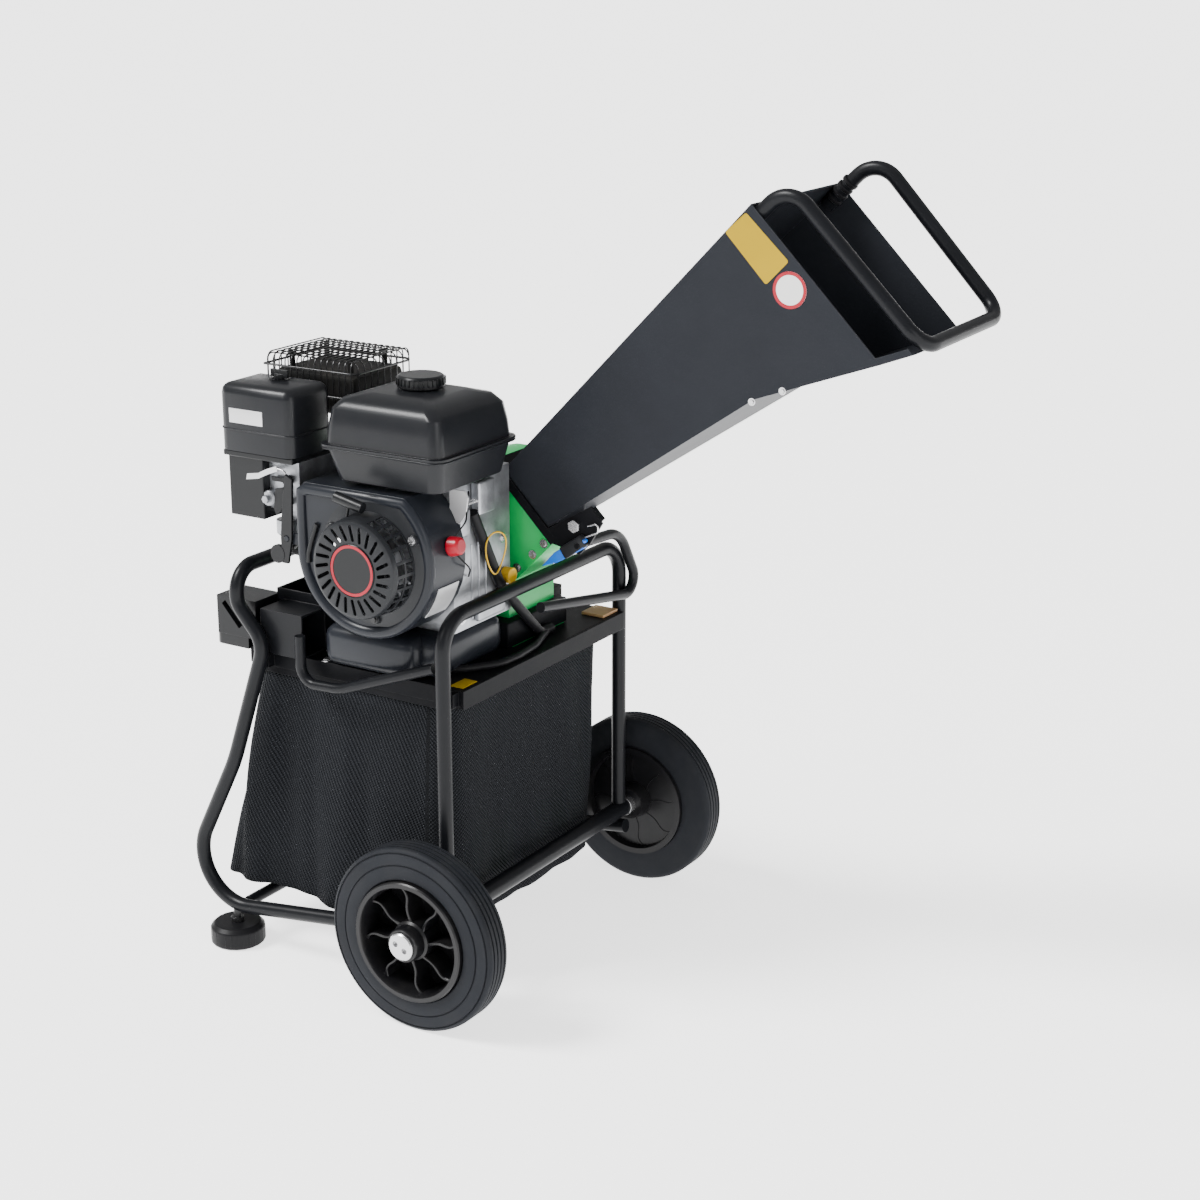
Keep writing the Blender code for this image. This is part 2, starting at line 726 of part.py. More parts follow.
def deck(shop):
    """The folded deck plate with its lugs, post and discharge hole, and the angle along its edge."""
    under = DECK_TOP - SHEET
    skirt_foot = DECK_TOP - DECK_SKIRT
    plate = box(
        shop, "deck_plate", (DECK_LEFT, DECK_NEAR, under), (DECK_RIGHT, DECK_FAR, DECK_TOP),
        "black_coat",
    )
    bite = SHEET / 2
    for name, y in (("near", DECK_NEAR), ("far", DECK_FAR - SHEET)):
        unite(plate, box(
            shop, f"{name}_skirt", (DECK_LEFT, y, skirt_foot), (DECK_RIGHT, y + SHEET, under + bite),
            None,
        ))
    unite(plate, box(shop, "left_skirt", (DECK_LEFT, DECK_NEAR + bite, skirt_foot),
                     (DECK_LEFT + SHEET, DECK_FAR - bite, under + bite), None))
    lug_near = NEAR_Y + TUBE_R + GAP
    lug_top = under + bite / 2
    for name, x in (("hoop", 0.0), ("loop", LUG_LOOP_X)):
        unite(plate, box(shop, f"{name}_near_lug", (x - LUG_HALF, lug_near, skirt_foot + bite),
                         (x + LUG_HALF, DECK_NEAR + bite, lug_top), None))
    hole_far = CHUTE_FAR - HOUSING_WALL
    cut(plate, box(
        shop, "discharge_hole", (CHUTE_LEFT + HOUSING_WALL, HOUSING_NEAR + HOUSING_WALL, under - 0.01),
        (CHUTE_RIGHT - HOUSING_WALL, hole_far, DECK_TOP + 0.01), None,
    ))
    unite(plate, box(shop, "deck_post", (POST_LEFT, POST_NEAR, under + bite),
                     (POST_RIGHT, POST_FAR, POST_TOP), None))

    face = DECK_RIGHT + GAP
    lip_top = skirt_foot - GAP
    angle = box(
        shop, "deck_edge_angle", (face, DECK_NEAR, lip_top - SHEET),
        (face + SHEET, DECK_FAR, DECK_TOP), "black_coat",
    )
    unite(angle, box(shop, "edge_lip", (face - EDGE_LIP, DECK_NEAR + bite, lip_top - SHEET),
                     (face + bite, DECK_FAR - bite, lip_top), None))


def brackets(shop):
    """The channel with its tray, and the slotted latch with its tongue, at the feet side of the deck."""
    foot = DECK_TOP + GAP
    channel = box(
        shop, "bracket_channel", (BRACKET_LEFT, BRACKET_NEAR, foot),
        (BRACKET_RIGHT, BRACKET_FAR, BRACKET_TOP), "black_coat",
    )
    wall = BRACKET_WALL
    cut(channel, box(shop, "channel_bore", (BRACKET_LEFT + wall, BRACKET_NEAR + wall, foot + wall),
                     (BRACKET_RIGHT + 0.01, BRACKET_FAR - wall, BRACKET_TOP - wall), None))
    tray = box(shop, "tray_wall", (BRACKET_LEFT - 0.012, BRACKET_FAR - wall / 2, foot),
               (BRACKET_RIGHT - 0.004, TRAY_FAR, TRAY_TOP), None)
    unite(channel, tray)
    cut(channel, box(shop, "tray_bore", (BRACKET_LEFT - 0.012 + wall, BRACKET_FAR + wall / 2, foot + wall),
                     (BRACKET_RIGHT - 0.004 - wall, TRAY_FAR - wall, TRAY_TOP + 0.01), None))

    latch_top = foot + 0.066
    latch = box(
        shop, "handle_latch", (LATCH_LEFT, LATCH_NEAR, foot + 0.0125),
        (BRACKET_LEFT - 0.0123, LATCH_FAR, latch_top), "black_coat",
    )
    slot_middle = ((LATCH_LEFT + BRACKET_LEFT) / 2 - 0.014, LATCH_NEAR, foot + 0.042)
    slot_half = Vector((0.021, 0.018, 0.004))
    slot_low, slot_high = Vector(slot_middle) - slot_half, Vector(slot_middle) + slot_half
    cut(latch, box(shop, "latch_slot", slot_low, slot_high, None, turn=Matrix.Rotation(radians(48), 4, "Y")))
    lug = rounded([
        (DECK_LEFT - GAP, 0, LATCH_NEAR + 0.003), (LATCH_LEFT - 0.009, 0, LATCH_NEAR + 0.003),
        (LATCH_LEFT - 0.009, 0, LATCH_FAR - 0.009), (DECK_LEFT - GAP, 0, LATCH_FAR - 0.009),
    ], 0.012, 4)
    curve = bpy.data.curves.new("latch_tongue", "CURVE")
    curve.dimensions = "2D"
    curve.fill_mode = "BOTH"
    curve.extrude = 0.0085
    spline = curve.splines.new("POLY")
    spline.points.add(len(lug) - 1)
    for point, place in zip(spline.points, lug):
        point.co = (place[0], place[2], 0, 1)
    spline.use_cyclic_u = True
    tongue = shop.add("latch_tongue", curve, None)
    tongue.location = (0, 0, foot + 0.0045)
    unite(latch, as_mesh(shop, tongue))


def tapered_box(shop, name, top_low, top_high, bottom_low, bottom_high, low, high, look, pivot=ROOT):
    """A box whose top and bottom are different (X, Y) rectangles."""
    shape = bmesh.new()
    bmesh.ops.create_cube(shape, size=2)
    for corner in shape.verts:
        first, last = (top_low, top_high) if corner.co.z > 0 else (bottom_low, bottom_high)
        corner.co = (
            last[0] if corner.co.x > 0 else first[0],
            last[1] if corner.co.y > 0 else first[1],
            high if corner.co.z > 0 else low,
        )
    mesh = bpy.data.meshes.new(name)
    shape.to_mesh(mesh)
    shape.free()
    return shop.add(name, mesh, look, pivot)


def bag(shop):
    """The rim under the deck and the tapered bag that hangs from it."""
    top = DECK_TOP - DECK_SKIRT - GAP
    rim_foot = top - BAG_RIM_DEPTH
    left = DECK_LEFT + 0.003
    right = DECK_RIGHT - EDGE_LIP - 0.001
    rim = box(shop, "bag_rim", (left, BAG_NEAR_Y, rim_foot), (right, BAG_FAR_Y, top), "black_coat")
    cut(rim, box(shop, "rim_opening", (left + BAG_RIM_WIDTH, BAG_NEAR_Y + BAG_RIM_WIDTH, rim_foot - 0.01),
                 (right - BAG_RIM_WIDTH, BAG_FAR_Y - BAG_RIM_WIDTH, top + 0.01), None))
    mouth = rim_foot - GAP
    foot_left = left - BAG_LEAN
    cloth = tapered_box(shop, "collection_bag", (left, BAG_NEAR_Y), (right, BAG_FAR_Y),
                        (foot_left, BAG_NEAR_Y - 0.004), (BAG_RIGHT_X, BAG_FAR_Y + 0.008),
                        BAG_BOTTOM, mouth, "bag_cloth")
    wall = BAG_WALL
    cut(cloth, tapered_box(
        shop, "bag_inside", (left + wall, BAG_NEAR_Y + wall), (right - wall, BAG_FAR_Y - wall),
        (foot_left + wall, BAG_NEAR_Y - 0.004 + wall), (BAG_RIGHT_X - wall, BAG_FAR_Y + 0.008 - wall),
        BAG_BOTTOM + wall, mouth + 0.004, None,
    ))


def cover_outline(inset):
    """The fan cover's outline: round, with a flat top and a square corner at the top left."""
    centre = (CRANK_X + COVER_SHIFT[0], CRANK_Z + COVER_SHIFT[1])
    radius = COVER_R - inset
    left = CRANK_X + COVER_LEFT + inset
    top = CRANK_Z + COVER_TOP - inset
    corner = COVER_CORNER - inset / 2
    lift = degrees(asin((top - centre[1]) / radius))
    return arc(centre, radius, lift, -170, 22) + [
        (left, centre[1]), (left, top - corner), (left + corner, top),
    ]


def many_boxes(shop, name, boxes):
    """A cutter of several boxes, each a low corner, a high corner and a turn about a centre."""
    shape = bmesh.new()
    for low, high, turn in boxes:
        low, high = Vector(low), Vector(high)
        place = Matrix.Translation((low + high) / 2) @ Matrix.Diagonal((*(high - low), 1))
        bmesh.ops.create_cube(shape, size=1, matrix=turn @ place)
    mesh = bpy.data.meshes.new(name)
    shape.to_mesh(mesh)
    shape.free()
    return shop.add(name, mesh, None)


def about(x, z, angle):
    """A turn about the line through (X, Z) along Y."""
    return Matrix.Translation((x, 0, z)) @ Matrix.Rotation(angle, 4, "Y") @ Matrix.Translation((-x, 0, -z))


def starter(shop):
    """The slotted starter cup with its post, the reel on it, and the grip with its rope."""
    base = CRANK
    rim_y = COVER_FRONT_Y - GAP
    floor = STARTER_FACE_Y + STARTER_WALL
    round_off = 0.005
    inner_face = STARTER_FACE_R - STARTER_WALL
    brim = STARTER_BASE_R + STARTER_LIP
    housing = turned(shop, "recoil_housing", [
        (0, floor), (inner_face - round_off, floor), (inner_face, floor + round_off),
        (inner_face + 0.002, STARTER_FLARE_Y + STARTER_WALL), (STARTER_BASE_R - STARTER_WALL, rim_y),
        (brim, rim_y), (brim, rim_y - STARTER_WALL), (STARTER_BASE_R, rim_y - 2 * STARTER_WALL),
        (STARTER_FACE_R + 0.002, STARTER_FLARE_Y), (STARTER_FACE_R, STARTER_FACE_Y + round_off),
        (STARTER_FACE_R - round_off, STARTER_FACE_Y), (0, STARTER_FACE_Y),
    ], "grey_plastic", base, steps=36)
    reel_back = REEL_FRONT_Y + REEL_WIDTH
    post_r = REEL_BORE - GAP
    unite(housing, rod(
        shop, "reel_post", (CRANK_X, floor - STARTER_WALL / 2, CRANK_Z), (CRANK_X, reel_back, CRANK_Z),
        post_r, None, sides=16,
    ))
    slots = [
        ((CRANK_X + SLOT_INNER, STARTER_FACE_Y - 0.01, CRANK_Z - SLOT_WIDTH / 2),
         (CRANK_X + SLOT_OUTER, floor + 0.004, CRANK_Z + SLOT_WIDTH / 2),
         about(CRANK_X, CRANK_Z, 2 * pi * i / SLOTS))
        for i in range(SLOTS)
    ]
    cut(housing, many_boxes(shop, "starter_slots", slots))
    pull = Vector((sin(PULL_ANGLE), 0, cos(PULL_ANGLE)))
    across = Vector((cos(PULL_ANGLE), 0, -sin(PULL_ANGLE)))
    rope_y = REEL_FRONT_Y + REEL_WIDTH / 2
    tangent = Vector((CRANK_X, rope_y, CRANK_Z)) - across * REEL_R
    grip_place = tangent + pull * GRIP_REACH
    cut(housing, rod(shop, "rope_guide", tangent + pull * 0.040, grip_place, ROPE_R + RUN, None, sides=12))

    turned(
        shop, "starter_reel",
        [
            (REEL_R + 0.005, reel_back), (REEL_R + 0.005, reel_back - REEL_FLANGE),
            (REEL_R - ROPE_R - RUN, reel_back - REEL_FLANGE),
            (REEL_R - ROPE_R - RUN, REEL_FRONT_Y + REEL_FLANGE),
            (REEL_R + 0.005, REEL_FRONT_Y + REEL_FLANGE), (REEL_R + 0.005, REEL_FRONT_Y),
            (REEL_BORE, REEL_FRONT_Y), (REEL_BORE, reel_back),
        ],
        "grey_plastic", base, closed=True, steps=24,
    )
    grip = rod(
        shop, "starter_grip", grip_place - across * GRIP_LENGTH / 2,
        grip_place + across * GRIP_LENGTH / 2, GRIP_R, "grey_plastic", pivot=tuple(grip_place),
        sides=16,
    )
    unite(grip, rod(shop, "rope", grip_place - pull * ROPE_LENGTH, grip_place, ROPE_R, None, sides=8))


def fan_side(shop):
    """The fan cover with the throttle lever, the flywheel behind it and the stop switch."""
    cover = slab(shop, "fan_cover", cover_outline(0), COVER_FRONT_Y, COVER_BACK_Y, "grey_plastic")
    cut(cover, slab(
        shop, "cover_inside", cover_outline(COVER_WALL), COVER_FRONT_Y + COVER_WALL,
        COVER_BACK_Y + 0.01, None,
    ))
    cut(cover, rod(
        shop, "cover_opening", (CRANK_X, COVER_FRONT_Y - 0.01, CRANK_Z),
        (CRANK_X, COVER_FRONT_Y + 0.01, CRANK_Z), COVER_HOLE_R, None, sides=32,
    ))
    left = CRANK_X + COVER_LEFT
    tab_far = LEVER_NEAR + LEVER_THICK + GAP + LEVER_THICK
    unite(cover, box(shop, "lever_tab", (LEVER_X - 0.007, LEVER_NEAR + LEVER_THICK + GAP, LEVER_Z - 0.008),
                     (left + COVER_WALL / 2, tab_far, LEVER_Z + 0.008), None))
    unite(cover, rod(
        shop, "lever_pin", (LEVER_X, LEVER_NEAR - 0.001, LEVER_Z), (LEVER_X, tab_far - 0.001, LEVER_Z),
        PIN_R, None, sides=12,
    ))
    pivot = (LEVER_X, LEVER_NEAR, LEVER_Z)
    lever = slab(
        shop, "throttle_lever",
        [
            (LEVER_X - 0.009, LEVER_Z - 0.034), (LEVER_X + 0.001, LEVER_Z - 0.034),
            (LEVER_X + 0.008, LEVER_Z), (LEVER_X + 0.012, LEVER_Z + 0.080),
            (LEVER_X + 0.001, LEVER_Z + 0.086), (LEVER_X - 0.006, LEVER_Z + 0.040),
            (LEVER_X - 0.010, LEVER_Z),
        ],
        LEVER_NEAR, LEVER_NEAR + LEVER_THICK, "grey_plastic", pivot,
    )
    cut(lever, rod(
        shop, "lever_bore", (LEVER_X, LEVER_NEAR - 0.01, LEVER_Z),
        (LEVER_X, LEVER_NEAR + 0.02, LEVER_Z), PIN_R + GAP, None, sides=12,
    ))

    wheel_back = FLYWHEEL_FRONT_Y + FLYWHEEL_WIDTH
    fan = rod(
        shop, "flywheel_fan", (CRANK_X, FLYWHEEL_FRONT_Y, CRANK_Z), (CRANK_X, wheel_back, CRANK_Z),
        FLYWHEEL_R, "cast_alloy", CRANK, 32,
    )
    blades = [(
        (CRANK_X + 0.040, FLYWHEEL_FRONT_Y - BLADE_HEIGHT, CRANK_Z - 0.0015),
        (CRANK_X + FLYWHEEL_R - 0.005, FLYWHEEL_FRONT_Y + 0.001, CRANK_Z + 0.0015),
        about(CRANK_X, CRANK_Z, 2 * pi * i / BLADES),
    ) for i in range(BLADES)]
    unite(fan, many_boxes(shop, "fan_blades", blades))
    cut(fan, rod(
        shop, "fan_bore", (CRANK_X, 0.08, CRANK_Z), (CRANK_X, 0.15, CRANK_Z), SHAFT_R + GAP, None,
        sides=20,
    ))

    angle = STOP_ANGLE
    middle = Vector((CRANK_X + COVER_SHIFT[0], STOP_Y, CRANK_Z + COVER_SHIFT[1]))
    out = Vector((cos(angle), 0, sin(angle)))
    seat = middle + out * (COVER_R + GAP)
    rod(
        shop, "stop_switch_knob", seat, seat + out * STOP_HEIGHT, STOP_R, "red_plastic", tuple(seat),
        sides=16, end_radius=STOP_R - 0.0025,
    )


def barrel(shop, name, start, end, half, inset, look):
    """A block square to the cylinder's axis, from start to end along it."""
    x, z = cylinder_point((start + end) / 2, 0)
    deep = CYLINDER_SIZE / 2 - inset
    middle = Vector((x, CYLINDER_FRONT_Y + CYLINDER_SIZE / 2, z))
    corner = Vector(((end - start) / 2, deep, half - inset))
    return box(
        shop, name, middle - corner, middle + corner, look,
        turn=Matrix.Rotation(CYLINDER_TILT, 4, "Y"),
    )


def crank_train(shop):
    """Crankcase, finned cylinder, rocker cover, crankshaft, plinth, plug lead and oil cap."""
    front = COVER_BACK_Y + GAP
    back = front + CASE_DEPTH
    base_z = CRANK_Z - CASE_BASE
    right = CRANK_X + CASE_RIGHT
    case = box(
        shop, "crankcase", (CRANK_X - CASE_LEFT, front, base_z), (right, back, TANK_BOTTOM - GAP),
        "cast_alloy",
    )
    half = CYLINDER_SIZE / 2
    end = CYLINDER_START + CYLINDER_LENGTH
    unite(case, barrel(shop, "barrel_seat", 0.040, CYLINDER_START - GAP, half, 0.001, None))
    cut(case, barrel(shop, "barrel_clearance", CYLINDER_START - GAP, end, half + GAP, -GAP, None))
    cut(case, rod(
        shop, "case_cavity", (CRANK_X, front + CASE_WALL, CRANK_Z),
        (CRANK_X, back - CASE_WALL, CRANK_Z), CAVITY_R, None, sides=28,
    ))
    cut(case, rod(
        shop, "shaft_holes", (CRANK_X, front - 0.01, CRANK_Z), (CRANK_X, back + 0.01, CRANK_Z),
        SHAFT_R + RUN, None, sides=20,
    ))

    block = barrel(
        shop, "cylinder_block", CYLINDER_START, end - HEAD_LENGTH / 2, half, FIN_DEPTH, "cast_alloy",
    )
    pitch = (CYLINDER_LENGTH - HEAD_LENGTH) / FINS
    fins = [(CYLINDER_START + pitch * i, CYLINDER_START + pitch * i + FIN_THICK) for i in range(FINS)]
    for i, (start, stop) in enumerate(fins + [(end - HEAD_LENGTH, end)]):
        unite(block, barrel(shop, f"fin_{i}", start, stop, half, 0, None))
    rocker = barrel(shop, "rocker_cover", end + GAP, end + GAP + ROCKER_LENGTH, half, 0.010, "grey_plastic")
    soften(rocker, 0.007)

    shaft = rod(
        shop, "crankshaft", (CRANK_X, SHAFT_START, CRANK_Z),
        (CRANK_X, WEB_NEAR + WEB_THICKNESS / 2, CRANK_Z), SHAFT_R, "steel", CRANK, 20,
    )
    web_far = WEB_NEAR + WEB_THICKNESS + PIN_LENGTH
    for name, y in (("near_web", WEB_NEAR), ("far_web", web_far)):
        unite(shaft, rod(
            shop, name, (CRANK_X, y, CRANK_Z), (CRANK_X, y + WEB_THICKNESS, CRANK_Z), WEB_R, None,
            sides=24,
        ))
    unite(shaft, rod(shop, "crank_pin", (CRANK_X, WEB_NEAR + WEB_THICKNESS / 2, CRANK_Z - CRANK_THROW),
                     (CRANK_X, web_far + WEB_THICKNESS / 2, CRANK_Z - CRANK_THROW), SHAFT_R, None, sides=16))
    shaft_end = HOUSING_NEAR + HOUSING_WIDTH - HOUSING_WALL - ROTOR_MARGIN
    unite(shaft, rod(
        shop, "power_shaft", (CRANK_X, web_far + WEB_THICKNESS / 2, CRANK_Z),
        (CRANK_X, shaft_end, CRANK_Z), SHAFT_R, None, sides=20,
    ))

    foot = DECK_TOP + GAP
    plinth_far = PLINTH_FRONT_Y + PLINTH_DEPTH
    plinth = box(
        shop, "engine_plinth", (PLINTH_LEFT, PLINTH_FRONT_Y, foot),
        (PLINTH_RIGHT, plinth_far, base_z - GAP), "grey_plastic",
    )
    unite(plinth, box(shop, "plinth_rear_foot", (PLINTH_RIGHT - 0.01, plinth_far - 0.060, foot),
                      (right, plinth_far - 0.001, base_z - GAP), None))

    spark = end - HEAD_LENGTH / 2
    base, inside, tip, bend = [cylinder_point(spark, -half - reach) for reach in (
        GAP, PLUG_LENGTH - 0.004, PLUG_LENGTH, PLUG_LENGTH + 0.014,
    )]
    cover_left = CRANK_X + COVER_LEFT - GAP
    route = rounded([
        (inside[0], PLUG_Y, inside[1]), (bend[0], PLUG_Y, bend[1]),
        (bend[0] + 0.004, *LEAD_TURN), (cover_left, *LEAD_END),
    ], [0.012, 0.016], 4)
    lead = as_mesh(shop, tube(shop, "spark_plug_lead", route, LEAD_R, "rubber", resolution=2))
    unite(lead, rod(
        shop, "plug_boot", (base[0], PLUG_Y, base[1]), (tip[0], PLUG_Y, tip[1]), PLUG_R, None,
        sides=14,
    ))

    cap_base = Vector((CRANK_X + CASE_RIGHT + GAP, OIL_CAP[0], OIL_CAP[1]))
    rod(
        shop, "oil_filler_cap", cap_base, cap_base + Vector((OIL_CAP_HEIGHT, 0, 0)), OIL_CAP_R,
        "yellow_plastic", tuple(cap_base), sides=12,
    )


def stack(shop, name, levels, corner, look, pivot=ROOT):
    """A skin over (Z, left X, near Y, right X, far Y) rectangles with round corners, lowest first."""
    shape = bmesh.new()
    rings = []
    for z, left, near, right, far in levels:
        ring = []
        for x, y, turn in (
            (left + corner, near + corner, 180), (right - corner, near + corner, 270),
            (right - corner, far - corner, 0), (left + corner, far - corner, 90),
        ):
            ring += [
                shape.verts.new((*place, z)) for place in arc((x, y), corner, turn, turn + 90, CORNER_STEPS)
            ]
        rings.append(ring)
    count = len(rings[0])
    for low, high in zip(rings, rings[1:]):
        for i in range(count):
            k = (i + 1) % count
            shape.faces.new((low[i], low[k], high[k], high[i]))
    shape.faces.new(rings[0][::-1])
    shape.faces.new(rings[-1])
    mesh = bpy.data.meshes.new(name)
    shape.to_mesh(mesh)
    shape.free()
    smooth(mesh)
    return shop.add(name, mesh, look, pivot)


def tank_level(z, inset, extra=0.0):
    """The tank's rectangle at one height. inset is one number or one for each side."""
    left, near, right, far = inset if hasattr(inset, "__len__") else [inset] * 4
    return (z, TANK_LEFT + left + extra, TANK_NEAR + near + extra,
            TANK_RIGHT - right - extra, TANK_FAR - far - extra)


def tank(shop):
    """The tank's two shells with their seam lip and filler neck, and the fuel cap."""
    wall = TANK_WALL
    below = TANK_SEAM - GAP / 2
    above = TANK_SEAM + GAP / 2
    lower = stack(shop, "fuel_tank_lower", [
        tank_level(TANK_BOTTOM, TANK_UNDERCUT), tank_level(below, 0),
    ], TANK_CORNER, "grey_plastic")
    upper = stack(shop, "fuel_tank_upper", [tank_level(above, 0)] + [
        tank_level(z, inset) for z, inset in TANK_STEPS
    ], TANK_CORNER, "grey_plastic")
    for shell, side, low, high in (
        (lower, "lower", below - SHEET, below), (upper, "upper", above, above + SHEET),
    ):
        unite(shell, stack(shop, f"{side}_lip", [
            tank_level(low, -TANK_LIP), tank_level(high, -TANK_LIP),
        ], TANK_CORNER + TANK_LIP / 2, None))
    hollow = TANK_CORNER - wall
    cut(lower, stack(shop, "lower_inside", [
        tank_level(TANK_BOTTOM + wall, TANK_UNDERCUT, wall), tank_level(below + 0.001, 0, wall),
    ], hollow, None))
    roof = TANK_STEPS[-1][0]
    neck = (*FUEL_CAP_PLACE, roof - 0.008)
    unite(upper, rod(shop, "filler_neck", neck, (*FUEL_CAP_PLACE, roof + NECK_HEIGHT), NECK_R, None))
    cut(upper, stack(shop, "upper_inside", [tank_level(above - 0.001, 0, wall)] + [
        tank_level(z - wall, inset, wall) for z, inset in TANK_STEPS
    ], hollow, None))
    cut(upper, rod(
        shop, "filler_hole", (*FUEL_CAP_PLACE, roof - 0.03), (*FUEL_CAP_PLACE, roof + 0.02),
        NECK_R - 0.004, None,
    ))
    seat = roof + NECK_HEIGHT + GAP
    skirt = 0.001 - NECK_HEIGHT
    turned(shop, "fuel_cap", [
        (0, FUEL_CAP_HEIGHT), (FUEL_CAP_R - 0.003, FUEL_CAP_HEIGHT), (FUEL_CAP_R, FUEL_CAP_HEIGHT - 0.003),
        (FUEL_CAP_R, skirt), (NECK_R + RUN, skirt), (NECK_R + RUN, 0), (0, 0),
    ], "grey_plastic", (*FUEL_CAP_PLACE, seat), (0, 0, 1), steps=24)


def intake(shop):
    """Air cleaner, carburettor, wing nut and the two small levers."""
    wall = 0.002
    foot = CLEANER_SEAM + GAP / 2
    tray_top = CLEANER_SEAM - GAP / 2
    back = CLEANER_FRONT_Y + CLEANER_DEPTH
    cover = box(
        shop, "air_cleaner_cover", (CLEANER_LEFT, CLEANER_FRONT_Y, foot - 0.02),
        (CLEANER_RIGHT, back, CLEANER_TOP), "grey_plastic",
    )
    soften(cover, CLEANER_ROUND, 3)
    hollow = box(
        shop, "cover_hollow", (CLEANER_LEFT + wall, CLEANER_FRONT_Y + wall, foot - 0.03),
        (CLEANER_RIGHT - wall, back - wall, CLEANER_TOP - wall), None,
    )
    cut(cover, soften(hollow, CLEANER_ROUND - wall, 3))
    cut(cover, box(
        shop, "cover_foot", (CLEANER_LEFT - 0.01, CLEANER_FRONT_Y - 0.01, foot - 0.04),
        (CLEANER_RIGHT + 0.01, back + 0.01, foot), None,
    ))
    tray_foot = tray_top - TRAY_DEPTH
    base = box(
        shop, "air_cleaner_base", (CLEANER_LEFT + 0.003, CLEANER_FRONT_Y + 0.003, tray_foot),
        (CLEANER_RIGHT - 0.003, back - 0.003, tray_top), "grey_plastic",
    )
    unite(base, box(
        shop, "silencer_box", (CLEANER_LEFT + 0.007, CLEANER_FRONT_Y + 0.008, BASE_BOTTOM),
        (BASE_RIGHT, back - 0.006, tray_foot + 0.001), None,
    ))
    seat_y = CYLINDER_FRONT_Y - GAP
    carb = box(
        shop, "carburettor", (BASE_RIGHT + GAP, CARB_FRONT_Y, CARB_BOTTOM),
        (CARB_RIGHT, seat_y, tray_foot - GAP), "cast_alloy",
    )
    bowl_x = (BASE_RIGHT + CARB_RIGHT) / 2
    bowl_y = CARB_FRONT_Y + 0.040
    unite(carb, rod(
        shop, "float_bowl", (bowl_x, bowl_y, CARB_BOTTOM - 0.026),
        (bowl_x, bowl_y, CARB_BOTTOM + 0.001), 0.019, None, sides=20,
    ))
    nut = (*WING_NUT, CLEANER_TOP + GAP)
    wing = rod(shop, "cover_wing_nut", nut, (*WING_NUT, CLEANER_TOP + 0.007), 0.007, "grey_plastic", nut, 12)
    unite(wing, box(
        shop, "wings", (WING_NUT[0] - 0.014, WING_NUT[1] - 0.002, CLEANER_TOP + 0.003),
        (WING_NUT[0] + 0.014, WING_NUT[1] + 0.002, CLEANER_TOP + 0.013), None,
    ))
    for name, z, look in (
        ("choke_lever", CHOKE_Z, "grey_plastic"), ("fuel_valve_lever", FUEL_VALVE_Z, "steel"),
    ):
        hinge = (SMALL_LEVER_X, CARB_FRONT_Y - GAP, z)
        lever = rod(shop, name, hinge, (SMALL_LEVER_X, CARB_FRONT_Y - 0.009, z), 0.006, look, hinge, 14)
        unite(lever, box(
            shop, f"{name}_arm", (SMALL_LEVER_X - 0.024, CARB_FRONT_Y - 0.008, z - 0.003),
            (SMALL_LEVER_X, CARB_FRONT_Y - 0.004, z + 0.003), None,
        ))


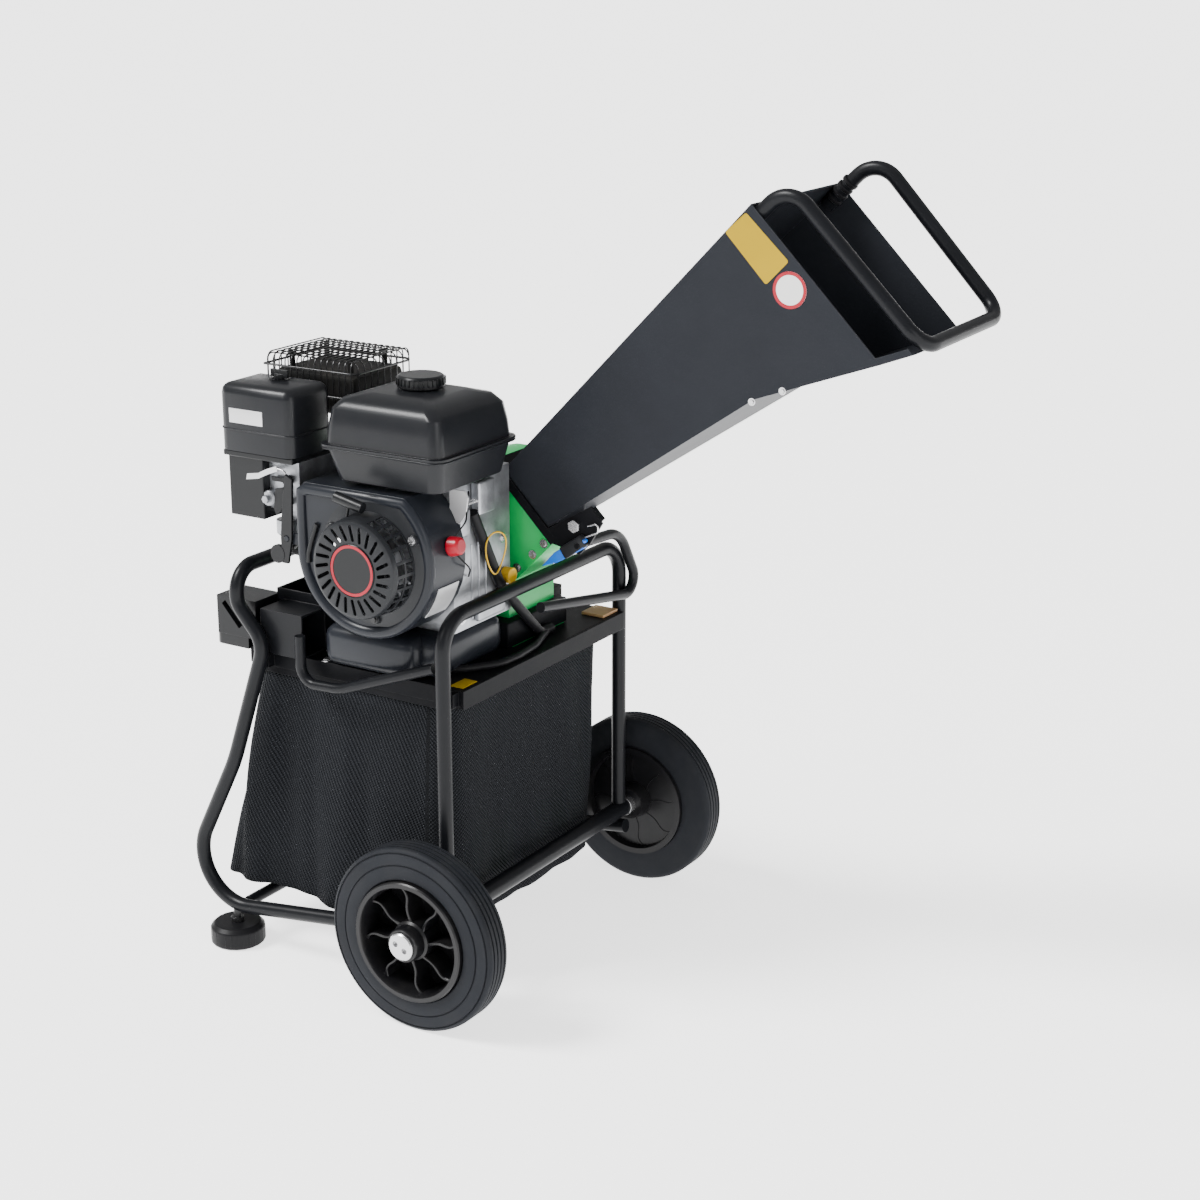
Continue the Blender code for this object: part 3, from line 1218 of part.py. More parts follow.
def exhaust(shop):
    """The muffler with its bent stub, and the guard with rows of slots over it."""
    body = box(
        shop, "muffler", (MUFFLER_LEFT, MUFFLER_NEAR, MUFFLER_BOTTOM),
        (MUFFLER_RIGHT, MUFFLER_FAR, MUFFLER_TOP), "black_coat",
    )
    soften(body, 0.012)
    half = CYLINDER_SIZE / 2
    stub_y = MUFFLER_NEAR + STUB_INSET
    port, bend = (cylinder_point(STUB_ALONG, half + rise) for rise in (GAP, STUB_LENGTH))
    route = rounded(
        [
            (port[0], stub_y, port[1]), (bend[0], stub_y, bend[1]),
            (bend[0] - 0.018, stub_y, MUFFLER_BOTTOM + 0.016),
        ],
        0.012, 4,
    )
    unite(body, as_mesh(shop, tube(shop, "exhaust_stub", route, STUB_R, None)))
    roof = MUFFLER_TOP + GUARD_TOP_CLEAR
    for x in (MUFFLER_LEFT + 0.02, MUFFLER_RIGHT - 0.02):
        for y in (MUFFLER_NEAR + 0.02, MUFFLER_FAR - 0.02):
            unite(body, rod(
                shop, f"guard_post_{x:.3f}_{y:.3f}", (x, y, MUFFLER_TOP - 0.003), (x, y, roof - GAP),
                0.004, None, sides=10,
            ))
    space = GUARD_SPACE
    wall = GUARD_WALL
    low = (MUFFLER_LEFT - space, MUFFLER_NEAR - space)
    high = (MUFFLER_RIGHT + space, MUFFLER_FAR + space)
    foot = MUFFLER_BOTTOM + GUARD_RISE
    guard = box(shop, "muffler_guard", (*low, foot), (*high, roof + wall), "black_coat")
    cut(guard, box(
        shop, "guard_inside", (low[0] + wall, low[1] + wall, foot - 0.01),
        (high[0] - wall, high[1] - wall, roof), None,
    ))
    still = Matrix()

    def openings(name, first, last, count, fixed_low, fixed_high, along):
        """Cuts one row of slots into the guard, spread evenly along X or Y."""
        pitch = (last - first) / count
        cells = []
        for i in range(count):
            start = first + pitch * i + GUARD_BAR / 2
            stop = first + pitch * (i + 1) - GUARD_BAR / 2
            if along == "X":
                cells.append(((start, *fixed_low), (stop, *fixed_high), still))
            else:
                cells.append(
                    ((fixed_low[0], start, fixed_low[1]), (fixed_high[0], stop, fixed_high[1]), still)
                )
        cut(guard, many_boxes(shop, name, cells))

    edge = 0.008
    mid_y = (low[1] + high[1]) / 2
    openings(
        "roof_near_slots", low[0] + edge, high[0] - edge, 9, (low[1] + edge, roof - 0.005),
        (mid_y - 0.002, roof + 0.01), "X",
    )
    openings(
        "roof_far_slots", low[0] + edge, high[0] - edge, 9, (mid_y + 0.002, roof - 0.005),
        (high[1] - edge, roof + 0.01), "X",
    )
    openings(
        "long_side_slots", low[0] + edge, high[0] - edge, 9, (low[1] - 0.01, foot + 0.004),
        (high[1] + 0.01, roof - 0.004), "X",
    )
    openings(
        "short_side_slots", low[1] + edge, high[1] - edge, 8, (low[0] - 0.01, foot + 0.004),
        (high[0] + 0.01, roof - 0.004), "Y",
    )


def rotor_case(shop):
    """The green housing with its throat and chute, the fixed knife, the rotor and its knives."""
    near, far = HOUSING_NEAR, HOUSING_NEAR + HOUSING_WIDTH
    rise = degrees(FEED_ANGLE)
    meet = degrees(acos(FLANGE_START / DRUM_R))
    outline = [feed(FLANGE_START, HOUSING_R), feed(0, HOUSING_R)]
    outline += arc((CRANK_X, CRANK_Z), DRUM_R, rise - 90 - DRUM_BLEND, rise + meet - 360, 20)
    case = slab(shop, "rotor_housing", outline, near, far, "green_coat")
    foot = DECK_TOP + GAP
    unite(case, box(
        shop, "chute", (CHUTE_LEFT, near + 0.001, foot), (CHUTE_RIGHT, CHUTE_FAR, CRANK_Z - 0.050),
        None,
    ))
    unite(case, box(
        shop, "foot_flange", (CHUTE_LEFT - FOOT_FLANGE, near - 0.010, foot + 0.0001),
        (CHUTE_RIGHT + FOOT_FLANGE, CHUTE_FAR + 0.005, foot + 0.004), None,
    ))
    wall = HOUSING_WALL
    cut(case, rod(
        shop, "rotor_chamber", (CRANK_X, near + wall, CRANK_Z), (CRANK_X, far - wall, CRANK_Z),
        DRUM_R - wall, None, sides=36,
    ))
    cut(case, feed_box(
        shop, "throat", (0.0, near + wall, -THROAT_UPPER),
        (FLANGE_START + 0.02, far - wall, THROAT_LOWER), None,
    ))
    cut(case, box(
        shop, "chute_hole", (CHUTE_LEFT + wall, near + wall + 0.0005, foot - 0.02),
        (CHUTE_RIGHT - wall, CHUTE_FAR - wall, CRANK_Z - 0.030), None,
    ))
    cut(case, rod(
        shop, "shaft_opening", (CRANK_X, near - 0.01, CRANK_Z), (CRANK_X, near + 0.02, CRANK_Z),
        SHAFT_R + 0.004, None, sides=20,
    ))
    knife_end = BED_KNIFE_START + BED_KNIFE_LENGTH
    cut(case, feed_box(
        shop, "knife_pocket", (BED_KNIFE_START - 0.001, near + wall + 0.001, THROAT_LOWER - 0.004),
        (knife_end + GAP, far - wall - 0.001, THROAT_LOWER + BED_KNIFE_THICK + GAP), None,
    ))
    feed_box(shop, "bed_knife", (BED_KNIFE_START, near + wall + 0.001 + GAP, THROAT_LOWER + GAP),
             (knife_end, far - wall - 0.001 - GAP, THROAT_LOWER + BED_KNIFE_THICK), "steel")

    rotor_near = near + wall + ROTOR_MARGIN
    rotor_far = far - wall - ROTOR_MARGIN
    rotor = rod(
        shop, "rotor", (CRANK_X, rotor_near, CRANK_Z), (CRANK_X, rotor_far, CRANK_Z), ROTOR_R, "steel",
        CRANK, 32,
    )
    cut(rotor, rod(
        shop, "rotor_bore", (CRANK_X, near - 0.01, CRANK_Z), (CRANK_X, far + 0.01, CRANK_Z),
        SHAFT_R + GAP, None, sides=20,
    ))
    for name, angle in (("knife_a", 0.0), ("knife_b", pi)):
        turn = about(CRANK_X, CRANK_Z, KNIFE_ANGLE + angle)
        flat = (
            (CRANK_X - ROTOR_R, rotor_near - 0.01, CRANK_Z + KNIFE_FLAT),
            (CRANK_X + ROTOR_R, rotor_far + 0.01, CRANK_Z + ROTOR_R + 0.01), turn,
        )
        cut(rotor, many_boxes(shop, f"{name}_flat", [flat]))
        low = Vector((CRANK_X + KNIFE_REACH - KNIFE_WIDTH, rotor_near + 0.004, CRANK_Z + KNIFE_FLAT + GAP))
        high = Vector((CRANK_X + KNIFE_REACH, rotor_far - 0.004, CRANK_Z + KNIFE_FLAT + GAP + KNIFE_THICK))
        middle = turn @ ((low + high) / 2)
        half = (high - low) / 2
        box(
            shop, name, middle - half, middle + half, "steel", CRANK,
            Matrix.Rotation(KNIFE_ANGLE + angle, 4, "Y"),
        )


def feed_outline(points):
    """The (X, Z) places of several (u, w) points."""
    return [feed(u, w) for u, w in points]


def far_wall(u):
    """The Y of the hopper's far wall, which spreads from the housing to the mouth."""
    far = HOUSING_NEAR + HOUSING_WIDTH
    share = (u - FLANGE_START) / (MOUTH_U - FLANGE_START)
    return far + (MOUTH_FAR_Y - far) * share


def flared(shop, name, outline, inset, look, pivot=ROOT):
    """A body over (u, w) points, from the hopper's near wall to its spreading far wall."""
    shape = bmesh.new()
    near = [shape.verts.new((x, HOUSING_NEAR + inset, z)) for x, z in feed_outline(outline)]
    far = [
        shape.verts.new((x, far_wall(u) - inset, z))
        for (u, w), (x, z) in zip(outline, feed_outline(outline))
    ]
    shape.faces.new(near)
    shape.faces.new(far[::-1])
    for i in range(len(near)):
        k = (i + 1) % len(near)
        shape.faces.new((near[k], near[i], far[i], far[k]))
    bmesh.ops.recalc_face_normals(shape, faces=shape.faces)
    mesh = bpy.data.meshes.new(name)
    shape.to_mesh(mesh)
    shape.free()
    return shop.add(name, mesh, look, pivot)


def hopper_mounting(shop, hinge):
    """The fixed flange with its two ears at the near side, and the hinge bolt."""
    near, far = HOUSING_NEAR, HOUSING_NEAR + HOUSING_WIDTH
    ear_near = near - GAP - EAR_THICK
    flange = feed_box(shop, "hopper_flange", (FLANGE_START + GAP, ear_near, -FLANGE_UPPER),
                      (FLANGE_START + FLANGE_THICK, far, HOUSING_R), "black_coat")
    wall = HOUSING_WALL
    cut(flange, feed_box(shop, "flange_throat", (FLANGE_START - 0.01, near + wall, -THROAT_UPPER),
                         (FLANGE_START + 0.03, far - wall, THROAT_LOWER), None))
    root = FLANGE_START + 0.003
    outer_ear = [
        (root, THROAT_LOWER + 0.0035), (FLANGE_START + FLANGE_THICK - 0.003, THROAT_LOWER + 0.0035),
        (HINGE_U + 0.037, HINGE_W - 0.004), (HINGE_U + 0.035, HINGE_W + 0.023),
        (CLAMP_U + 0.010, CLAMP_W + 0.008), (CLAMP_U - 0.012, CLAMP_W + 0.008), (root, HOUSING_R - 0.001),
    ]
    inner_ear = outer_ear[:2] + [
        (HINGE_U + 0.012, HINGE_W - 0.009), (HINGE_U + 0.012, HINGE_W + 0.012), outer_ear[-1],
    ]
    inner_near = near + HOPPER_SHEET + GAP
    for name, outline, low in (
        ("outer_ear", outer_ear, ear_near + 0.0001), ("inner_ear", inner_ear, inner_near),
    ):
        unite(flange, slab(shop, name, feed_outline(outline), low, low + EAR_THICK - 0.0001, None))
    clamp_x, clamp_z = feed(CLAMP_U, CLAMP_W)
    lever_far = ear_near - GAP
    lever_near = lever_far - CLAMP_THICK
    unite(flange, rod(
        shop, "clamp_pin", (clamp_x, lever_near - 0.002, clamp_z),
        (clamp_x, ear_near + 0.002, clamp_z), PIN_R, None, sides=12,
    ))
    x, z = hinge[0], hinge[2]
    bore = HINGE_R + GAP
    cut(flange, rod(
        shop, "ear_holes", (x, ear_near - 0.01, z), (x, inner_near + 0.01, z), bore, None, sides=16,
    ))
    bolt_end = inner_near + EAR_THICK + 0.004
    bolt = rod(shop, "hinge_bolt", (x, ear_near - 0.002, z), (x, bolt_end, z), HINGE_R, "steel", hinge, 16)
    for name, low in (("bolt_head", ear_near - GAP - 0.005), ("bolt_nut", inner_near + EAR_THICK + GAP)):
        unite(bolt, rod(shop, name, (x, low, z), (x, low + 0.005, z), HINGE_R + 0.004, None, sides=6))

    pivot = (clamp_x, lever_far, clamp_z)
    lever = slab(shop, "clamp_lever", feed_outline([
        (CLAMP_U + dx, CLAMP_W + dz) for dx, dz in CLAMP_OUTLINE
    ]), lever_near, lever_far, "blue_plastic", pivot)
    cut(lever, rod(
        shop, "clamp_bore", (clamp_x, lever_near - 0.01, clamp_z),
        (clamp_x, lever_far + 0.01, clamp_z), PIN_R + GAP, None, sides=12,
    ))


def hopper(shop):
    """The flared hopper with its hinge ear and tongue, its handle and its rubber flap."""
    near = HOUSING_NEAR
    start = FLANGE_START + FLANGE_THICK + GAP
    hinge_x, hinge_z = feed(HINGE_U, HINGE_W)
    hinge = (hinge_x, 0.0, hinge_z)
    hopper_mounting(shop, hinge)

    sheet = HOPPER_SHEET
    slope = (MOUTH_LOWER - KINK_W) / (MOUTH_U - KINK_U)
    over = 0.02
    shell = flared(shop, "hopper_shell", [
        (start, -THROAT_UPPER - sheet), (MOUTH_U, -MOUTH_UPPER), (MOUTH_U, MOUTH_LOWER), (KINK_U, KINK_W),
        (start, THROAT_LOWER + sheet),
    ], 0, "black_coat", hinge)
    throat_slope = (KINK_W - THROAT_LOWER - sheet) / (KINK_U - start)
    inner = flared(shop, "hopper_inside", [
        (start - over, -THROAT_UPPER), (MOUTH_U + over, -MOUTH_UPPER + sheet),
        (MOUTH_U + over, MOUTH_LOWER - sheet + over * slope), (KINK_U, KINK_W - sheet),
        (start - over, THROAT_LOWER - over * throat_slope),
    ], sheet, None)
    ear_plate = [(HINGE_U - 0.020, THROAT_LOWER + 0.006), (HINGE_U + 0.030, THROAT_LOWER + 0.014)]
    ear_plate += arc((HINGE_U, HINGE_W), EAR_R, 0, 180, 8)
    unite(shell, slab(shop, "hinge_ear", feed_outline(ear_plate), near + SKIN, near + sheet - SKIN, None))
    cut(shell, inner)
    cut(shell, rod(
        shop, "hinge_hole", (hinge_x, near - 0.01, hinge_z), (hinge_x, near + 0.01, hinge_z),
        HINGE_R + GAP, None, sides=16,
    ))
    end_u = HANDLE_END_NEAR_U - HANDLE_R - GAP
    end_w = HANDLE_END_W
    back_u = MOUTH_U - 0.016
    back_w = MOUTH_LOWER - 0.016 * slope
    far = far_wall(MOUTH_U) - 0.004
    tongue = [
        (back_u, back_w), (MOUTH_U, MOUTH_LOWER), (end_u, end_w), (end_u, end_w - sheet),
        (MOUTH_U, MOUTH_LOWER - sheet), (back_u, back_w - sheet),
    ]
    unite(shell, slab(shop, "tongue", feed_outline(tongue), near + sheet / 2, far, None))
    lip_u = end_u - 0.001
    lip = [
        (back_u, back_w - sheet / 2), (lip_u, end_w - sheet / 2), (lip_u, end_w - LIP_HEIGHT),
        (MOUTH_U, MOUTH_LOWER - LIP_HEIGHT),
    ]
    unite(shell, slab(shop, "tongue_lip", feed_outline(lip), near + SKIN, near + sheet - SKIN, None))

    clear = sheet + GAP + HANDLE_R
    top_w = -MOUTH_UPPER + sheet + HANDLE_R + 0.002
    corners = [
        (HANDLE_START_U, near + clear, top_w), (HANDLE_NEAR_U, near + clear, top_w),
        (HANDLE_END_NEAR_U, near + clear, HANDLE_END_W),
        (HANDLE_END_FAR_U, MOUTH_FAR_Y - clear, HANDLE_END_W),
        (HANDLE_FAR_U, MOUTH_FAR_Y - clear, top_w),
        (HANDLE_START_U, far_wall(HANDLE_START_U) - clear - 0.001, top_w),
    ]
    places = []
    for u, y, w in corners:
        x, z = feed(u, w)
        places.append((x, y, z))
    bends = [HANDLE_BEND, HANDLE_END_BEND, HANDLE_END_BEND, HANDLE_BEND]
    tube(shop, "hopper_handle", rounded(places, bends), HANDLE_R, "black_coat", hinge)

    share = (FLAP_U - start) / (MOUTH_U - start)
    ceiling = -THROAT_UPPER + share * (THROAT_UPPER - MOUTH_UPPER + sheet)
    flap_x, flap_z = feed(FLAP_U, ceiling + FLAP_THICK + 2 * GAP)
    pivot = (flap_x, 0.0, flap_z)
    flap_near = near + sheet + 0.004
    flap_far = far_wall(FLAP_U - FLAP_LENGTH) - sheet - 0.003
    flap = rod(
        shop, "hopper_flap", (flap_x, flap_near, flap_z), (flap_x, flap_far, flap_z), FLAP_THICK,
        "rubber", pivot, 12,
    )
    half = FLAP_THICK / 2
    unite(flap, box(shop, "flap_sheet", (flap_x - half, flap_near + 0.001, flap_z - FLAP_LENGTH),
                    (flap_x + half, flap_far - 0.001, flap_z), None))


def stand_on_origin(shop):
    """Moves the machine so that the middle of its footprint is the origin."""
    bpy.context.view_layer.update()
    graph = bpy.context.evaluated_depsgraph_get()
    points = []
    for piece in shop.parts.objects:
        if piece.type == "EMPTY":
            continue
        solid = piece.evaluated_get(graph)
        points += [solid.matrix_world @ vertex.co for vertex in solid.to_mesh().vertices]
        solid.to_mesh_clear()
    middle = [(min(p[i] for p in points) + max(p[i] for p in points)) / 2 for i in range(2)]
    shop.base.location = (-middle[0], -middle[1], 0)


def main():
    """Builds every sub-assembly, then moves the machine onto its origin."""
    shop = Workshop()
    wheel(shop, "near", 0.0, -1)
    wheel(shop, "far", FAR_OUTER, 1)
    axle_parts(shop)
    frame_tubes(shop)
    deck(shop)
    brackets(shop)
    bag(shop)
    starter(shop)
    fan_side(shop)
    crank_train(shop)
    tank(shop)
    intake(shop)
    exhaust(shop)
    rotor_case(shop)
    hopper(shop)
    stand_on_origin(shop)


main()
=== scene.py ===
"""Looks of the petrol garden shredder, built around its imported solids.

Every sub-assembly is a class. Its pieces are drawn in the drawing frame, where X = 0 is the wheel axle,
Y = 0 the outer face of the near tyre and Z = 0 the ground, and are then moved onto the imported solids.
"""

import json
import logging
from dataclasses import dataclass
from enum import Enum
from math import asin, atan2, cos, degrees, pi, radians, sin, tan
from random import Random
from typing import Callable, Optional, Sequence

import bmesh
import bpy
from mathutils import Matrix, Vector


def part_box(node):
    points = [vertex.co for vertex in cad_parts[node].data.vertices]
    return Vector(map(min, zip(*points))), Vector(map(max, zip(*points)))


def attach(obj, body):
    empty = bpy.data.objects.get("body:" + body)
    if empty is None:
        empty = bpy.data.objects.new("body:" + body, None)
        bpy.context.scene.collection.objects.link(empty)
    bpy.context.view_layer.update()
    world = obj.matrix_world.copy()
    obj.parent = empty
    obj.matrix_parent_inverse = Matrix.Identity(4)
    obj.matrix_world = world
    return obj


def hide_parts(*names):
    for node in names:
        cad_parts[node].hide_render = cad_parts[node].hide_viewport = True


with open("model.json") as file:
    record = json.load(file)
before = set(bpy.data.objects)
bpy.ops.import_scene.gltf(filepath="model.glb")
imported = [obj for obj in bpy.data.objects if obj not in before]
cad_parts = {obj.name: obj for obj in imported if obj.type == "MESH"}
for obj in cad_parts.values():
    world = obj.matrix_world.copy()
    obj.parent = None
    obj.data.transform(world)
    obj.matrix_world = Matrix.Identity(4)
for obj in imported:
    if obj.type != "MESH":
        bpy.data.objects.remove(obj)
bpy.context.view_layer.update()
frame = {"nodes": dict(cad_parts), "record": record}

Point = tuple[float, float, float]
Flat = tuple[float, float]
Colour = tuple[float, float, float]
Piece = bpy.types.Object
Socket = bpy.types.NodeSocket
Sockets = dict[str, Socket]
Tree = bpy.types.NodeTree
Shape = bmesh.types.BMesh

log = logging.getLogger("garden_shredder")

FIXED = "frame_and_engine"
BODY_OF = {
    node: body for body, nodes in frame["record"]["behaviour"]["bodies"].items() for node in nodes
}

TYRE_LOW, TYRE_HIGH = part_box("near_tyre")
ORIGIN = Vector(((TYRE_LOW.x + TYRE_HIGH.x) / 2, TYRE_LOW.y, 0.0))

CRANK_X = -0.098
CRANK_Z = 0.595
HOPPER_NEAR_Y = 0.300
CRANK = (CRANK_X, 0, CRANK_Z)
THREAD_GAIN = 2.1
WORN_LIFT = 0.10
WORN_GAIN = 1.6
COAT_GLOSS = 0.25
BRUSH_STRETCH = 0.04
WOVEN_BUMP = 0.9
PLAIN_BUMP = 0.35
WELD = 0.000005
SKIN_WELD = 0.00001
SKIN_FLAT = radians(0.8)
SKIN_CREASE = 32
SKIN_SOFT_FROM = radians(40)
LEAST_BEND = 0.02
BEND_SHARE = 0.48
DIAGONAL = 2 ** -0.5
TOWARDS_NEAR = (0, -1, 0)


class Grain(Enum):
    """The small-scale surface that a finish has."""

    POWDER = "powder"
    MOULDED = "moulded"
    CAST = "cast"
    BRUSHED = "brushed"
    WOVEN = "woven"
    SMOOTH = "smooth"


COARSE = {Grain.POWDER: 0.5, Grain.MOULDED: 0.3, Grain.CAST: 1.4, Grain.BRUSHED: 0.2}


@dataclass(frozen=True)
class Finish:
    """One finish: its colour, how that varies, its gloss and its grain."""

    name: str
    slot: str
    colour: Colour
    grain: Grain
    roughness: float
    metallic: float = 0.0
    spread: float = 0.18
    patch: float = 14.0
    grain_scale: float = 900.0
    grain_depth: float = 0.0003
    wear: float = 0.0
    dust: float = 0.0
    coat: float = 0.0
    sheen: float = 0.0
    specular: float = 0.5


POWDER_BLACK = Finish("powder_black", "black_coat", (0.0055, 0.0060, 0.0075), Grain.POWDER, 0.34,
                      grain_scale=520, wear=0.20, dust=0.01, coat=0.06, specular=0.12)
DECK_BLACK = Finish("deck_black", "black_coat", (0.0045, 0.0048, 0.0060), Grain.POWDER, 0.40,
                    grain_scale=480, wear=0.25, dust=0.02, specular=0.05)
HOPPER_SLATE = Finish("hopper_slate", "black_coat", (0.0150, 0.0165, 0.0205), Grain.POWDER, 0.46,
                      spread=0.10, grain_scale=330, grain_depth=0.0006, wear=0.35, specular=0.08)
HOPPER_UNDERSIDE = Finish("hopper_underside", "black_coat", (0.33, 0.33, 0.32), Grain.BRUSHED, 0.42,
                          metallic=0.55, spread=0.10)
EXHAUST_BLACK = Finish("exhaust_black", "black_coat", (0.008, 0.008, 0.008), Grain.CAST, 0.60,
                       spread=0.35, dust=0.08, specular=0.12)
WIRE_BLACK = Finish("wire_black", "black_coat", (0.024, 0.024, 0.025), Grain.SMOOTH, 0.28,
                    metallic=0.55)
MOULDED_BLACK = Finish("moulded_black", "grey_plastic", (0.006, 0.0065, 0.0075), Grain.MOULDED, 0.32,
                       spread=0.12, grain_scale=700, coat=0.18, specular=0.14)
TANK_BLACK = Finish("tank_black", "grey_plastic", (0.0085, 0.0092, 0.0112), Grain.MOULDED, 0.30,
                    spread=0.10, grain_scale=620, coat=0.16, dust=0.01, specular=0.14)
COVER_SLATE = Finish("cover_slate", "grey_plastic", (0.0110, 0.0127, 0.0170), Grain.MOULDED, 0.30,
                     spread=0.12, grain_scale=650, coat=0.18, dust=0.01, specular=0.13)
STARTER_GREY = Finish("starter_grey", "grey_plastic", (0.013, 0.014, 0.016), Grain.MOULDED, 0.36,
                      spread=0.12, grain_scale=700, coat=0.15, specular=0.12)
TYRE_RUBBER = Finish("tyre_rubber", "rubber", (0.0140, 0.0153, 0.0185), Grain.MOULDED, 0.55,
                     spread=0.22, grain_scale=420, grain_depth=0.0004, dust=0.03, specular=0.07)
HOSE_RUBBER = Finish("hose_rubber", "rubber", (0.008, 0.008, 0.009), Grain.MOULDED, 0.42,
                     grain_scale=500, specular=0.12)
RIM_BLACK = Finish("rim_black", "rim_plastic", (0.006, 0.006, 0.007), Grain.MOULDED, 0.30,
                   grain_scale=600, coat=0.22, dust=0.03, specular=0.15)
SCRAP_WOOD = Finish("scrap_wood", "bag_cloth", (0.42, 0.24, 0.11), Grain.BRUSHED, 0.62,
                    spread=0.30, patch=30.0)
CAST_SILVER = Finish("cast_silver", "cast_alloy", (0.34, 0.35, 0.37), Grain.CAST, 0.38,
                     metallic=0.85, spread=0.45, patch=40.0, grain_scale=260, grain_depth=0.0009, dust=0.03)
ZINC_STEEL = Finish("zinc_steel", "steel", (0.55, 0.55, 0.56), Grain.BRUSHED, 0.26,
                    metallic=0.95, spread=0.14)
PLATE_SILVER = Finish("plate_silver", "steel", (0.62, 0.62, 0.63), Grain.BRUSHED, 0.38,
                      metallic=0.45, spread=0.10)
HOUSING_GREEN = Finish("housing_green", "green_coat", (0.000, 0.400, 0.085), Grain.POWDER, 0.38,
                       spread=0.10, grain_scale=420, wear=0.20, coat=0.15)
KNOB_RED = Finish("knob_red", "red_plastic", (0.31, 0.0, 0.012), Grain.SMOOTH, 0.30, coat=0.10,
                  specular=0.3)
CAP_YELLOW = Finish("cap_yellow", "yellow_plastic", (0.62, 0.36, 0.004), Grain.MOULDED, 0.42)
PATCH_YELLOW = Finish("patch_yellow", "yellow_plastic", (0.38, 0.245, 0.0), Grain.SMOOTH, 0.45,
                      spread=0.08, specular=0.15)
PATCH_WHITE = Finish("patch_white", "rim_plastic", (0.72, 0.71, 0.70), Grain.SMOOTH, 0.45,
                     spread=0.06)
LEVER_BLUE = Finish("lever_blue", "blue_plastic", (0.003, 0.12, 0.56), Grain.SMOOTH, 0.30, coat=0.1)
# The bag's broad tone patches are partly the cloth's own uneven tone and partly painted shade across the
# cloth.
BAG_CLOTH = Finish("woven_black", "bag_cloth", (0.0085, 0.0092, 0.0110), Grain.WOVEN, 0.62,
                   spread=0.25, patch=7.0, grain_depth=0.0022, dust=0.01, sheen=0.02, specular=0.02)


class Links:
    """Short calls for making and joining the nodes of one tree."""

    def __init__(self, tree: Tree) -> None:
        """Keeps the tree that the nodes go into."""
        self.tree = tree

    def feed(self, source: object, target: Socket) -> None:
        """Links an output socket to an input, or writes a plain value on the input.

        Args:
            source: the socket or the value.
            target: the input.
        """
        if isinstance(source, Socket):
            self.tree.links.new(source, target)
        else:
            target.default_value = source

    def node(self, kind: str, feeds: Optional[dict] = None, **values: object) -> bpy.types.Node:
        """Makes a node, sets its properties and feeds its inputs.

        Args:
            kind: the node's type name.
            feeds: a socket or a plain value for each input, by the input's name or number.
            values: properties of the node.

        Returns:
            The new node.
        """
        made = self.tree.nodes.new(kind)
        for name, value in values.items():
            setattr(made, name, value)
        for key, source in (feeds or {}).items():
            self.feed(source, made.inputs[key])
        return made

    def given(self) -> Sockets:
        """The inputs of the tree by name."""
        return {s.name: s for s in self.node("NodeGroupInput").outputs if s.name}

    def maths(self, operation: str, *terms: object) -> Socket:
        """One Math node's result from sockets or numbers."""
        return self.node("ShaderNodeMath", dict(enumerate(terms)), operation=operation).outputs[0]

    def times(self, *terms: object) -> Socket:
        """The product of two sockets or numbers."""
        return self.maths("MULTIPLY", *terms)

    def mix(self, factor: object, first: object, second: object, blend: str = "MIX") -> Socket:
        """Mixes two colours by a factor, which is how much of the second is taken."""
        return self.node("ShaderNodeMix", {0: factor, 6: first, 7: second}, data_type="RGBA",
                         blend_type=blend).outputs[2]

    def spread(self, value: object, *ends: float) -> Socket:
        """Maps a value from one range to another, given as four ends, and holds it there."""
        return self.node("ShaderNodeMapRange", dict(enumerate((value, *ends)))).outputs[0]

    def noise(self, vector: object, scale: object, detail: float) -> Socket:
        """A noise texture's value."""
        return self.node("ShaderNodeTexNoise", {
            "Vector": vector, "Scale": scale, "Detail": detail}).outputs[0]


def add_sockets(tree: Tree, rows: dict[str, object], side: str = "INPUT") -> None:
    """Adds sockets to a tree's interface.

    Args:
        tree: the node tree.
        rows: by label a default colour or number, or the name of a kind that has no default.
        side: INPUT or OUTPUT.
    """
    for label, value in rows.items():
        kind = value if isinstance(value, str) else {tuple: "Color", float: "Float", int: "Int"}[type(value)]
        socket = tree.interface.new_socket(label, in_out=side, socket_type=f"NodeSocket{kind}")
        if kind is not value:
            socket.default_value = value


